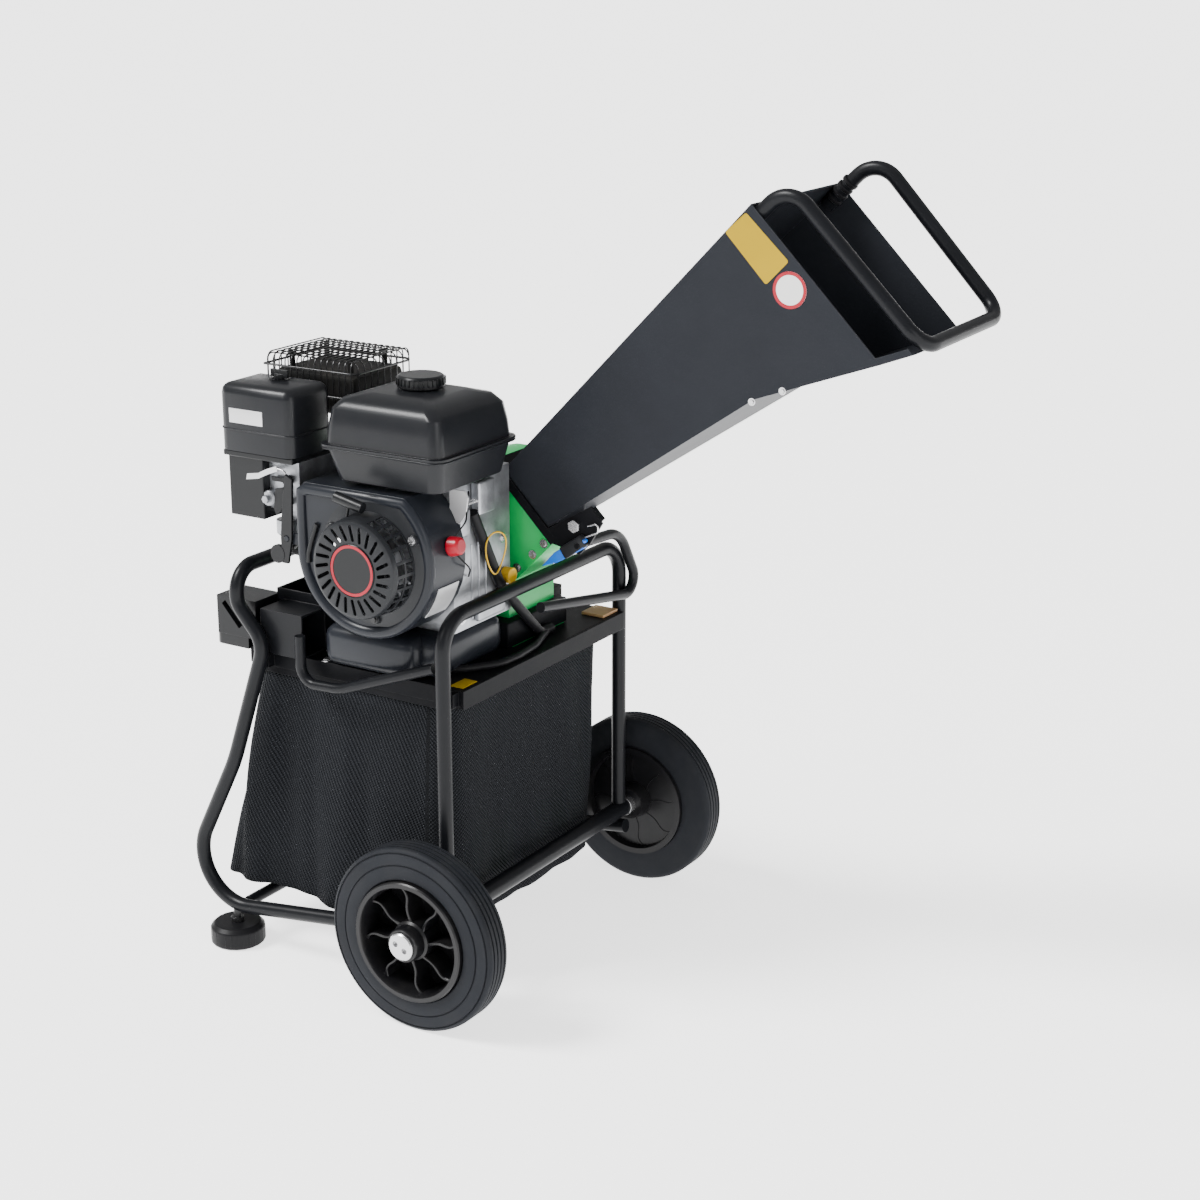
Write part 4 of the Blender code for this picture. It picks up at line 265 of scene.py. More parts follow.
class SharedEffects:
    """The shader node groups that several finishes place with their own values."""

    def __init__(self) -> None:
        """Starts with no group."""
        self.groups: dict[str, Tree] = {}

    def build(self) -> None:
        """Makes every group once."""
        place = {"Vector": "Vector"}
        self.group("tone_patches", self.tone, {
            **place, "Colour": (1, 1, 1, 1), "Spread": 0.2, "Scale": 12.0, "Roughness": 0.4})
        self.group("surface_grain", self.grain, {**place, "Scale": 600.0, "Coarse": 0.3, "Stretch": 1.0})
        self.group("woven_threads", self.weave, {**place, "Threads": 175.0})
        self.group("edge_wear", self.edge_wear, {
            **place, "Colour": (0, 0, 0, 1), "Worn": (0.3, 0.3, 0.3, 1), "Amount": 0.3})
        self.group("settled_dust", self.dust, {
            **place, "Colour": (0, 0, 0, 1), "Dust": (0.22, 0.20, 0.17, 1), "Amount": 0.1})

    def group(self, name: str, fill: Callable[[Links, Sockets], Sockets], inputs: dict[str, object]) -> None:
        """Makes one group.

        Args:
            name: the group's name.
            fill: makes its nodes and returns its results by name.
            inputs: the inputs, as add_sockets takes them.
        """
        tree = bpy.data.node_groups.new(name, "ShaderNodeTree")
        add_sockets(tree, inputs)
        links = Links(tree)
        results = fill(links, links.given())
        add_sockets(tree, {label: "Color" if label == "Colour" else "Float" for label in results}, "OUTPUT")
        links.node("NodeGroupOutput", results)
        self.groups[name] = tree

    def tone(self, links: Links, given: Sockets) -> Sockets:
        """Slow patches of lighter and darker colour and of gloss.

        Args:
            links: the group's nodes.
            given: the group's inputs.

        Returns:
            The results by name.
        """
        centred = links.maths("SUBTRACT", links.noise(given["Vector"], given["Scale"], 5), 0.5)
        swing = links.times(links.times(centred, given["Spread"]), 3.0)
        colour = links.mix(1.0, given["Colour"], links.maths("ADD", swing, 1.0), "MULTIPLY")
        gloss = links.maths("ADD", given["Roughness"], links.times(swing, 0.12))
        return {"Colour": colour, "Roughness": gloss}

    def grain(self, links: Links, given: Sockets) -> Sockets:
        """The fine height of a coated, moulded or cast surface. Stretch draws it out along X.

        Args:
            links: the group's nodes.
            given: the group's inputs.

        Returns:
            The results by name.
        """
        shape = links.node("ShaderNodeCombineXYZ", {0: given["Stretch"], 1: 1.0, 2: 1.0}).outputs[0]
        drawn = links.node("ShaderNodeVectorMath", {0: given["Vector"], 1: shape},
                           operation="MULTIPLY").outputs[0]
        fine = links.noise(drawn, given["Scale"], 3)
        broad = links.noise(drawn, links.times(given["Scale"], 0.22), 2)
        return {"Height": links.maths("ADD", fine, links.times(broad, given["Coarse"]))}

    def weave(self, links: Links, given: Sockets) -> Sockets:
        """Two sets of threads crossing at right angles on the piece's UV map, which is in metres.

        Args:
            links: the group's nodes.
            given: the group's inputs.

        Returns:
            The results by name.
        """
        flat = links.node("ShaderNodeSeparateXYZ", {0: given["Vector"]}).outputs
        turns = links.times(given["Threads"], 2 * pi)
        along, across = (links.maths("SINE", links.times(links.maths(way, flat[0], flat[1]), turns))
                         for way in ("ADD", "SUBTRACT"))
        height = links.maths("ADD", links.times(along, 0.65), links.times(across, 0.35))
        return {"Height": height, "Mask": links.spread(height, -1.0, 1.0, 0.0, 1.0)}

    def edge_wear(self, links: Links, given: Sockets) -> Sockets:
        """Brings a lighter colour out on sharp edges, broken up by noise.

        Args:
            links: the group's nodes.
            given: the group's inputs.

        Returns:
            The results by name.
        """
        rounded = links.node("ShaderNodeBevel", {"Radius": 0.0012}, samples=3).outputs[0]
        plain = links.node("ShaderNodeNewGeometry").outputs["Normal"]
        product = links.node("ShaderNodeVectorMath", {0: rounded, 1: plain}, operation="DOT_PRODUCT")
        edge = links.spread(product.outputs["Value"], 0.80, 0.995, 1.0, 0.0)
        patchy = links.spread(links.noise(given["Vector"], 90, 2), 0.42, 0.62, 0.15, 1.0)
        share = links.times(links.times(edge, patchy), given["Amount"])
        return {"Colour": links.mix(share, given["Colour"], given["Worn"])}

    def dust(self, links: Links, given: Sockets) -> Sockets:
        """A thin pale film on what faces up.

        Args:
            links: the group's nodes.
            given: the group's inputs.

        Returns:
            The results by name.
        """
        normal = links.node("ShaderNodeNewGeometry").outputs["Normal"]
        rise = links.node("ShaderNodeSeparateXYZ", {0: normal}).outputs[2]
        up = links.spread(rise, -0.2, 1.0, 0.25, 1.0)
        patchy = links.spread(links.noise(given["Vector"], 35, 6), 0.40, 0.70, 0.0, 1.0)
        share = links.times(links.times(up, patchy), given["Amount"])
        return {"Colour": links.mix(share, given["Colour"], given["Dust"])}


EFFECTS = SharedEffects()


def material(finish: Finish) -> bpy.types.Material:
    """The procedural material of a finish, made when it is first asked for.

    Args:
        finish: the finish.

    Returns:
        The material.
    """
    found = bpy.data.materials.get(finish.name)
    if found:
        return found
    made = bpy.data.materials.new(finish.name)
    made.use_nodes = True
    links = Links(made.node_tree)
    place = links.node("ShaderNodeTexCoord").outputs

    def effect(name: str, **feeds: object) -> bpy.types.NodeOutputs:
        """The results of a shared effect at the piece's own place, unless a place is given."""
        feeds.setdefault("Vector", place["Object"])
        return links.node("ShaderNodeGroup", feeds, node_tree=EFFECTS.groups[name]).outputs

    tone = effect("tone_patches", Colour=(*finish.colour, 1), Spread=finish.spread, Scale=finish.patch,
                  Roughness=finish.roughness)
    colour = tone["Colour"]
    feeds = {
        "Roughness": tone["Roughness"], "Metallic": finish.metallic, "Specular IOR Level": finish.specular,
        "Coat Weight": finish.coat, "Coat Roughness": COAT_GLOSS, "Sheen Weight": finish.sheen,
    }
    if finish.wear:
        worn = tuple(min(1.0, WORN_LIFT + WORN_GAIN * c) for c in finish.colour)
        colour = effect("edge_wear", Colour=colour, Worn=(*worn, 1), Amount=finish.wear)[0]
    if finish.dust:
        colour = effect("settled_dust", Colour=colour, Amount=finish.dust)[0]
    if finish.grain is not Grain.SMOOTH:
        if finish.grain is Grain.WOVEN:
            threads = effect("woven_threads", Vector=place["UV"])
            height = threads["Height"]
            colour = links.mix(threads["Mask"], colour, (*(THREAD_GAIN * c for c in finish.colour), 1))
        else:
            height = effect("surface_grain", Scale=finish.grain_scale, Coarse=COARSE[finish.grain],
                            Stretch=BRUSH_STRETCH if finish.grain is Grain.BRUSHED else 1.0)[0]
        strength = WOVEN_BUMP if finish.grain is Grain.WOVEN else PLAIN_BUMP
        bump = links.node("ShaderNodeBump", {
            "Strength": strength, "Distance": finish.grain_depth, "Height": height})
        feeds["Normal"] = bump.outputs[0]
    feeds["Base Color"] = colour
    for name, value in feeds.items():
        links.feed(value, made.node_tree.nodes["Principled BSDF"].inputs[name])
    return made


def settle(made: Piece, finish: Finish, body: str = FIXED, stands_for: Sequence[str] = (),
           drawn: bool = True, extra: Sequence[Finish] = ()) -> Piece:
    """Finishes a piece: its place, material, body and the nodes that it stands for.

    Args:
        made: the piece.
        finish: what it is dressed in.
        body: the body that it rides on.
        stands_for: the solids' nodes that it replaces.
        drawn: True where it is in the drawing frame.
        extra: further finishes for its later material slots.

    Returns:
        The piece.
    """
    if drawn:
        made.data.transform(Matrix.Translation(ORIGIN))
    made.data.materials.clear()
    for each in (finish, *extra):
        made.data.materials.append(material(each))
    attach(made, body)
    if stands_for:
        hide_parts(*stands_for)
    log.info("%s rides on %s", made.name, body)
    return made


def linked(name: str, data: Optional[bpy.types.ID]) -> Piece:
    """A new object in the scene with this mesh, camera or light.

    Args:
        name: the object's name.
        data: what it shows.

    Returns:
        The object.
    """
    made = bpy.data.objects.new(name, data)
    bpy.context.scene.collection.objects.link(made)
    return made


def shaded(mesh: bpy.types.Mesh, crease: float) -> None:
    """Shades a mesh smooth, with edges sharp from an angle in degrees."""
    mesh.shade_smooth()
    mesh.set_sharp_from_angle(angle=radians(crease))


def bridge(shape: Shape, first: Sequence[bmesh.types.BMVert], second: Sequence[bmesh.types.BMVert]) -> None:
    """Joins two rings of the same count with quads.

    Args:
        shape: the bmesh.
        first: the first ring.
        second: the second ring.
    """
    for i, here in enumerate(first):
        j = (i + 1) % len(first)
        shape.faces.new((here, first[j], second[j], second[i]))


def as_piece(name: str, shape: Shape, crease: float = 35.0) -> Piece:
    """Turns a bmesh into a linked object, welded, facing outwards and shaded by angle.

    Args:
        name: the piece's name.
        shape: the bmesh, which is freed.
        crease: the angle in degrees from which an edge stays sharp.

    Returns:
        The object.
    """
    bmesh.ops.remove_doubles(shape, verts=shape.verts, dist=WELD)
    bmesh.ops.recalc_face_normals(shape, faces=shape.faces)
    mesh = bpy.data.meshes.new(name)
    shape.to_mesh(mesh)
    shape.free()
    shaded(mesh, crease)
    return linked(name, mesh)


def solid_copy(made: Piece) -> Piece:
    """The piece with its modifiers turned into plain mesh, under the same name.

    Args:
        made: the piece, which is removed.

    Returns:
        The plain piece.
    """
    bpy.context.view_layer.update()
    graph = bpy.context.evaluated_depsgraph_get()
    mesh = bpy.data.meshes.new_from_object(made.evaluated_get(graph), depsgraph=graph)
    name = made.name
    bpy.data.objects.remove(made)
    return linked(name, mesh)


def joined(name: str, pieces: Sequence[Piece], crease: float = 35.0) -> Piece:
    """Several pieces as one.

    Args:
        name: the new piece's name.
        pieces: the pieces, which are removed.
        crease: the angle from which an edge stays sharp.

    Returns:
        The joined piece.
    """
    mesh = bpy.data.meshes.new(name)
    shape = bmesh.new()
    for each in pieces:
        shape.from_mesh(each.data)
        bpy.data.objects.remove(each)
    shape.to_mesh(mesh)
    shape.free()
    shaded(mesh, crease)
    return linked(name, mesh)


def carved(made: Piece, cutter: Piece) -> Piece:
    """Takes a cutter out of a piece and removes the cutter.

    Args:
        made: the piece.
        cutter: what is taken out of it.

    Returns:
        The carved piece.
    """
    step = made.modifiers.new("carve", "BOOLEAN")
    step.object = cutter
    step.operation = "DIFFERENCE"
    step.solver = "EXACT"
    fresh = solid_copy(made)
    bpy.data.objects.remove(cutter)
    shaded(fresh.data, 30)
    return fresh


def loft(name: str, rings: Sequence[Sequence[Point]], closed: bool = False, crease: float = 35.0) -> Piece:
    """Joins rings of the same count into one body.

    Args:
        name: the piece's name.
        rings: the points of each ring.
        closed: True where the last ring meets the first, or else both ends are capped.
        crease: the angle in degrees from which an edge stays sharp.

    Returns:
        The piece.
    """
    shape = bmesh.new()
    rows = [[shape.verts.new(point) for point in ring] for ring in rings]
    for first, second in zip(rows, rows[1:]):
        bridge(shape, first, second)
    if closed:
        bridge(shape, rows[-1], rows[0])
        bmesh.ops.remove_doubles(shape, verts=shape.verts, dist=WELD)
        bmesh.ops.dissolve_degenerate(shape, edges=shape.edges, dist=WELD)
    else:
        shape.faces.new(rows[0])
        shape.faces.new(rows[-1][::-1])
    return as_piece(name, shape, crease)


def lathe(name: str, profile: Sequence[Flat], centre: Point, steps: int, upright: bool = False) -> Piece:
    """Turns a closed (radius, height) profile round an axis through the centre.

    Args:
        name: the piece's name.
        profile: the outline's points. The heights run along the axis.
        centre: a point on the axis, from which the heights count.
        steps: how many sides the round has.
        upright: True where the axis runs along Z, or else it runs along Y.

    Returns:
        The piece.
    """
    rings = []
    for k in range(steps):
        angle = 2 * pi * k / steps
        ring = []
        for radius, height in profile:
            a, b = radius * cos(angle), radius * sin(angle)
            ring.append(Vector((a, b, height) if upright else (a, height, b)) + Vector(centre))
        rings.append(ring)
    return loft(name, rings, closed=True)


def prism(name: str, outline: Sequence[Flat], near: float, far: float) -> Piece:
    """A flat (X, Z) outline as a body from one Y to another.

    Args:
        name: the piece's name.
        outline: the outline's points.
        near: the first Y.
        far: the second Y.

    Returns:
        The piece.
    """
    return loft(name, [[(x, y, z) for x, z in outline] for y in (near, far)])


def block(name: str, low: Point, high: Point, round_off: float = 0.0) -> Piece:
    """A box between two corners, its edges rounded off.

    Args:
        name: the piece's name.
        low: the low corner.
        high: the high corner.
        round_off: how far the edges are cut back.

    Returns:
        The piece.
    """
    shape = bmesh.new()
    size = Vector(high) - Vector(low)
    place = Matrix.Translation((Vector(low) + Vector(high)) / 2) @ Matrix.Diagonal((*size, 1))
    bmesh.ops.create_cube(shape, size=1, matrix=place)
    if round_off:
        bmesh.ops.bevel(shape, geom=list(shape.edges), offset=round_off, segments=3, profile=0.5,
                        affect="EDGES", clamp_overlap=True)
    return as_piece(name, shape, 50)


def oblong(inner: float, outer: float, near: float, far: float) -> list[Flat]:
    """A lathe's profile from one radius to another and from one height to another."""
    return [(inner, near), (outer, near), (outer, far), (inner, far)]


def oval(centre: Flat, wide: float, high: float, steps: int) -> list[Flat]:
    """An oval outline from its centre and its two radii."""
    return [(centre[0] + wide * cos(2 * pi * i / steps), centre[1] + high * sin(2 * pi * i / steps))
            for i in range(steps)]


def drawn_box(node: str) -> tuple[Vector, Vector]:
    """The low and high corner of a solid, in the drawing frame."""
    low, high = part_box(node)
    return low - ORIGIN, high - ORIGIN


def spaced(low: float, high: float, margin: float, count: int) -> list[float]:
    """Evenly spaced places from one end to the other, less a margin at both."""
    return [low + margin + (high - low - 2 * margin) * i / (count - 1) for i in range(count)]


def stadium(length: float, width: float, steps: int = 6) -> list[Flat]:
    """A slot's outline, centred, along X with round ends.

    Args:
        length: the slot's length over all.
        width: its width.
        steps: the steps of each round end.

    Returns:
        The outline.
    """
    half = (length - width) / 2
    right = [(half + width / 2 * cos(a), width / 2 * sin(a))
             for a in (-pi / 2 + pi * i / steps for i in range(steps + 1))]
    return right + [(-x, -z) for x, z in right]


def bent(corners: Sequence[Point], bend: float | Sequence[float], steps: int = 6,
         closed: bool = False) -> list[Vector]:
    """A path through corners, each turned into an arc.

    Args:
        corners: the corners.
        bend: the radius of the arcs, held to what the runs leave, or one exact radius for each inner corner.
        steps: the points of each arc.
        closed: True for a loop.

    Returns:
        The path's points.
    """
    points = [Vector(c) for c in corners]
    path: list[Vector] = []
    count = len(points)
    for i, corner in enumerate(points):
        if not closed and i in (0, count - 1):
            path.append(corner)
            continue
        back = points[i - 1] - corner
        ahead = points[(i + 1) % count] - corner
        half = back.angle(ahead) / 2
        if half > pi / 2 - LEAST_BEND:
            path.append(corner)
            continue
        if isinstance(bend, (int, float)):
            reach = min(bend / tan(half), back.length * BEND_SHARE, ahead.length * BEND_SHARE)
        else:
            reach = bend[i - 1] / tan(half)
        radius = reach * tan(half)
        middle = corner + (back.normalized() + ahead.normalized()).normalized() * radius / sin(half)
        start = corner + back.normalized() * reach - middle
        end = corner + ahead.normalized() * reach - middle
        swing = start.angle(end)
        for k in range(steps + 1):
            share = k / steps
            path.append(middle + (start * sin((1 - share) * swing) + end * sin(share * swing)) / sin(swing))
    return path


def rule_tree(name: str, fill: Callable[[Links, Sockets], Socket], inputs: dict[str, object]) -> Tree:
    """Makes a Geometry Nodes tree whose output passes Realize Instances and Set Material.

    Args:
        name: the tree's name.
        fill: makes its nodes and returns the geometry.
        inputs: the inputs between geometry and material, as add_sockets takes them.

    Returns:
        The tree.
    """
    tree = bpy.data.node_groups.new(name, "GeometryNodeTree")
    add_sockets(tree, {"Geometry": "Geometry", **inputs, "Material": "Material"})
    add_sockets(tree, {"Geometry": "Geometry"}, "OUTPUT")
    links = Links(tree)
    given = links.given()
    real = links.node("GeometryNodeRealizeInstances", {0: fill(links, given)}).outputs[0]
    coat = links.node("GeometryNodeSetMaterial", {"Geometry": real, "Material": given["Material"]})
    links.node("NodeGroupOutput", {0: coat.outputs[0]})
    return tree


class Rules:
    """The Geometry Nodes trees for what repeats or follows a path."""

    def __init__(self) -> None:
        """Builds the three trees."""
        self.round = rule_tree("turned_copies", self.turn, {"Count": 8, "Step": 0.5})
        self.wire = rule_tree("wire_along_edges", self.sweep, {"Radius": 0.001, "Sides": 10})
        self.screw = rule_tree("screw_heads", self.heads, {
            "Radius": 0.004, "Height": 0.003, "Washer": 0.006, "Sides": 6})

    def turn(self, links: Links, given: Sockets) -> Socket:
        """Copies of a shape, evenly turned about the Y axis.

        Args:
            links: the tree's nodes.
            given: the tree's inputs.

        Returns:
            The copies.
        """
        points = links.node("GeometryNodePoints", {"Count": given["Count"]}).outputs[0]
        place = links.node("GeometryNodeInputIndex").outputs[0]
        turned = links.node("ShaderNodeCombineXYZ", {1: links.times(place, given["Step"])}).outputs[0]
        return links.node("GeometryNodeInstanceOnPoints", {
            "Points": points, "Instance": given["Geometry"], "Rotation": turned}).outputs[0]

    def sweep(self, links: Links, given: Sockets) -> Socket:
        """A round wire along every chain of edges.

        Args:
            links: the tree's nodes.
            given: the tree's inputs.

        Returns:
            The wires.
        """
        path = links.node("GeometryNodeMeshToCurve", {0: given["Geometry"]}).outputs[0]
        circle = links.node("GeometryNodeCurvePrimitiveCircle", {
            "Resolution": given["Sides"], "Radius": given["Radius"]}).outputs[0]
        return links.node("GeometryNodeCurveToMesh", {
            "Curve": path, "Profile Curve": circle, "Fill Caps": True}).outputs[0]

    def heads(self, links: Links, given: Sockets) -> Socket:
        """A washer and a head on every point, standing along its aim attribute.

        Args:
            links: the tree's nodes.
            given: the tree's inputs.

        Returns:
            The heads.
        """
        together = links.node("GeometryNodeJoinGeometry")
        for radius, height, sides in (
            (given["Radius"], given["Height"], given["Sides"]),
            (given["Washer"], links.times(given["Height"], 0.3), 24),
        ):
            disc = links.node("GeometryNodeMeshCylinder", {
                "Vertices": sides, "Radius": radius, "Depth": height}).outputs[0]
            lift = links.node("ShaderNodeCombineXYZ", {2: links.times(height, 0.5)}).outputs[0]
            raised = links.node("GeometryNodeTransform", {"Geometry": disc, "Translation": lift})
            links.feed(raised.outputs[0], together.inputs[0])
        aim = links.node("GeometryNodeInputNamedAttribute", {"Name": "aim"}, data_type="FLOAT_VECTOR")
        stand = links.node("FunctionNodeAlignRotationToVector", {"Vector": aim.outputs[0]}, axis="Z")
        return links.node("GeometryNodeInstanceOnPoints", {
            "Points": given["Geometry"], "Instance": together.outputs[0],
            "Rotation": stand.outputs[0]}).outputs[0]

    def apply(self, made: Piece, tree: Tree, finish: Finish,
              **values: object) -> Piece:
        """Runs a tree on a piece and keeps the result as plain mesh.

        Args:
            made: the piece that goes in.
            tree: the tree.
            finish: the finish that Set Material gives.
            values: the tree's inputs by name.

        Returns:
            The plain piece.
        """
        step = made.modifiers.new("rule", "NODES")
        step.node_group = tree
        values["Material"] = material(finish)
        for item in tree.interface.items_tree:
            if item.in_out == "INPUT" and item.name in values:
                step[item.identifier] = values[item.name]
        return solid_copy(made)

    def turned_copies(self, made: Piece, count: int, finish: Finish,
                      step: Optional[float] = None) -> Piece:
        """A shape drawn round the Y axis through the origin, repeated round it."""
        return self.apply(made, self.round, finish, Count=count, Step=step or 2 * pi / count)

    def wires(self, name: str, paths: Sequence[Sequence[Point]], radius: float, finish: Finish,
              sides: int = 10, closed: bool = False, body: str = FIXED,
              stands_for: Sequence[str] = ()) -> None:
        """Lays round wires along paths and settles them as one piece.

        Args:
            name: the piece's name.
            paths: the points of each wire.
            radius: the wire's radius.
            finish: its finish.
            sides: the sides of its round.
            closed: True where each path is a loop.
            body: the body that it rides on.
            stands_for: the solids' nodes that it replaces.
        """
        points: list[Vector] = []
        edges: list[tuple[int, int]] = []
        for path in paths:
            first = len(points)
            points += [Vector(p) for p in path]
            edges += [(i, i + 1) for i in range(first, len(points) - 1)]
            if closed:
                edges.append((len(points) - 1, first))
        mesh = bpy.data.meshes.new(name)
        mesh.from_pydata(points, edges, [])
        made = self.apply(linked(name, mesh), self.wire, finish, Radius=radius, Sides=sides)
        shaded(made.data, 50)
        settle(made, finish, body, stands_for)

    def screws(self, name: str, places: Sequence[Point], aim: Point, finish: Finish, size: Point,
               body: str = FIXED) -> None:
        """Puts screw heads with washers at places and settles them as one piece.

        Args:
            name: the piece's name.
            places: where they stand.
            aim: the direction that they stand in.
            finish: the heads' finish.
            size: the head's radius and height and the washer's radius.
            body: the body that they ride on.
        """
        mesh = bpy.data.meshes.new(name)
        mesh.from_pydata(places, [], [])
        for row in mesh.attributes.new("aim", "FLOAT_VECTOR", "POINT").data:
            row.vector = aim
        radius, height, washer = size
        settle(self.apply(linked(name, mesh), self.screw, finish, Radius=radius, Height=height,
                          Washer=washer, Sides=6), finish, body)


RULES: Rules


def refined(node: str, finish: Finish, bevel: float = 0.0006, extra: Sequence[Finish] = (),
            second: Optional[object] = None, segments: int = 2) -> Piece:
    """A copy of a solid's mesh, welded, with soft edges and smooth rounds, that stands for the solid.

    Args:
        node: the solid's node.
        finish: its finish.
        bevel: the width of the soft edges, or 0.
        extra: further finishes.
        second: tells from a face's normal and middle whether it takes the second finish.
        segments: the steps of the soft edges.

    Returns:
        The piece.
    """
    shape = bmesh.new()
    shape.from_mesh(frame["nodes"][node].data)
    bmesh.ops.remove_doubles(shape, verts=shape.verts, dist=SKIN_WELD)
    bmesh.ops.dissolve_limit(shape, angle_limit=SKIN_FLAT, verts=shape.verts, edges=shape.edges)
    points = [v.co.copy() for v in shape.verts]
    faces = [[v.index for v in f.verts] for f in shape.faces]
    shape.free()
    mesh = bpy.data.meshes.new(node)
    mesh.from_pydata(points, [], faces)
    shaded(mesh, SKIN_CREASE)
    made = linked(f"{node}_skin", mesh)
    if second:
        for face in mesh.polygons:
            face.material_index = int(second(face.normal, face.center))
    if bevel:
        soft = made.modifiers.new("soft_edges", "BEVEL")
        soft.width = bevel
        soft.segments = segments
        soft.limit_method = "ANGLE"
        soft.angle_limit = SKIN_SOFT_FROM
        soft.use_clamp_overlap = True
        even = made.modifiers.new("even_light", "WEIGHTED_NORMAL")
        even.keep_sharp = True
    return settle(made, finish, BODY_OF[node], [node], drawn=False, extra=extra)


def shifted(made: Piece, place: Point) -> Piece:
    """Moves a piece's mesh."""
    made.data.transform(Matrix.Translation(place))
    return made


@dataclass
class Wheel:
    """One solid-tyred wheel with curved blades, a steel cap and a grooved tyre."""

    side: str
    outer_y: float
    inward: float
    radius: float = 0.125
    tyre_width: float = 0.0434
    seat: float = 0.0825
    rim_outer: float = 0.0820
    rim_inner: float = 0.0738
    hub_radius: float = 0.0265
    web_depth: float = 0.036
    web_thick: float = 0.003
    lap: float = 0.001
    hub_from: float = -0.0152
    hub_to: float = 0.0598
    bore: float = 0.0083
    cap_radius: float = 0.0184
    cap_proud: float = 0.0200
    dent: float = 0.0040
    dent_shift: float = 0.0068
    blades: int = 8
    blade_front: float = 0.004
    blade_back: float = 0.040
    blade_steps: int = 14
    grooves: tuple[float, ...] = (0.0105, 0.0180, 0.0254, 0.0329)

    def turned(self, name: str, profile: Sequence[Flat], steps: int) -> Piece:
        """A turned part from a (radius, depth) profile, its depths counted from the wheel's outer face."""
        placed = [(r, self.outer_y + self.inward * d) for r, d in profile]
        return lathe(f"{self.side}_{name}", placed, (0, 0, self.radius), steps)

    def tyre(self) -> Piece:
        """The tyre: a flat face with two steps, round shoulders and grooves round the tread.

        Returns:
            The piece.
        """
        width = self.tyre_width
        profile = [(self.seat, width), (self.seat, 0.0024), (0.0842, 0.0003), (0.0865, 0.0),
                   (0.1000, 0.0002), (0.1016, 0.0007), (0.1022, 0.0024), (0.1032, 0.0024),
                   (0.1040, 0.0010), (0.1150, 0.0010), (0.1176, 0.0014), (0.1184, 0.0034),
                   (0.1194, 0.0034), (0.1202, 0.0018), (0.1228, 0.0030), (0.1243, 0.0050),
                   (self.radius, 0.0075)]
        for middle in self.grooves:
            profile += [(self.radius, middle - 0.0013), (self.radius - 0.0030, middle - 0.0009),
                        (self.radius - 0.0030, middle + 0.0009), (self.radius, middle + 0.0013)]
        profile += [(self.radius, width - 0.0072), (0.1240, width - 0.0042), (0.1218, width - 0.0020),
                    (0.1180, width)]
        return self.turned("tyre_tread", profile, 128)

    def blade(self) -> Piece:
        """One S-shaped blade between hub and ring, thicker along its front edge.

        Returns:
            The blade, before it is repeated.
        """
        rings = []
        front, back = (self.outer_y + self.inward * d for d in (self.blade_front, self.blade_back))
        bead = 0.0035 * self.inward

        def middle(share: float) -> Vector:
            """A point of the blade's middle line, in (X, Z).

            Args:
                share: how far out it is, from 0 at the hub to 1 at the ring.

            Returns:
                The point.
            """
            radius = self.hub_radius - self.lap + share * (self.rim_inner - self.hub_radius + 2 * self.lap)
            angle = 0.07 * sin(2 * pi * share) + 0.22 * share
            return Vector((radius * cos(angle), radius * sin(angle)))

        for i in range(self.blade_steps + 1):
            share = i / self.blade_steps
            spot = middle(share)
            along = (middle(min(1.0, share + 0.01)) - middle(max(0.0, share - 0.01))).normalized()
            side = Vector((-along.y, along.x))
            flare = 1.0 + 0.6 * abs(2 * share - 1) ** 6
            row = []
            for y, half in ((front, 0.0010), (front + bead * 0.3, 0.0017), (front + bead, 0.0014),
                            (back, 0.0010)):
                a, b = spot + side * half * flare, spot - side * half * flare
                row.append(((a.x, y, a.y), (b.x, y, b.y)))
            rings.append([p[0] for p in row] + [p[1] for p in reversed(row)])
        return loft(f"{self.side}_blade", rings, crease=60)

    def rim(self) -> Piece:
        """Ring, hub and blades as one moulding.

        Returns:
            The piece.
        """
        outer, inner, hub_r = self.rim_outer, self.rim_inner, self.hub_radius
        ring = self.turned("ring", [
            (outer, 0.0494), (outer, -0.0040), (outer - 0.0016, -0.0060), (inner + 0.0012, -0.0060),
            (inner, -0.0042), (inner - 0.0022, 0.0040), (inner - 0.0022, 0.0410), (inner, 0.0494),
        ], 96)
        hub = self.turned("hub", [
            (self.bore, self.hub_to), (self.bore, self.hub_from), (hub_r - 0.005, self.hub_from),
            (hub_r - 0.0035, self.hub_from + 0.002), (hub_r - 0.003, 0.0015), (hub_r, 0.0040),
            (hub_r, 0.0440), (hub_r - 0.003, self.hub_to),
        ], 64)
        web = self.turned("web", oblong(hub_r - self.lap, inner - self.lap, self.web_depth,
                                        self.web_depth + self.web_thick), 96)
        blades = shifted(RULES.turned_copies(self.blade(), self.blades, RIM_BLACK), (0, 0, self.radius))
        return joined(f"{self.side}_rim_moulding", [ring, hub, web, blades])

    def cap(self) -> Piece:
        """The steel cap with two round dents.

        Returns:
            The piece.
        """
        proud, dent = self.cap_proud, self.dent
        made = self.turned("cap", [
            (0.0, -0.0156), (self.cap_radius, -0.0156), (self.cap_radius, -0.0180),
            (self.cap_radius - 0.0016, 0.0005 - proud), (self.cap_radius - 0.0050, -proud), (0.0, -proud),
        ], 64)
        face = self.outer_y - self.inward * proud
        for shift in (-self.dent_shift, self.dent_shift):
            outline = oval((shift, self.radius - shift * 0.5), dent, dent, 20)
            made = carved(made, prism("dent", outline, face - dent, face + dent))
        return made

    def build(self) -> None:
        """Makes and dresses the wheel."""
        body = f"{self.side}_wheel"
        settle(self.tyre(), TYRE_RUBBER, body, [f"{self.side}_tyre"])
        settle(self.rim(), RIM_BLACK, body, [f"{self.side}_rim"])
        settle(self.cap(), ZINC_STEEL, body, [f"{self.side}_hub_cap"])


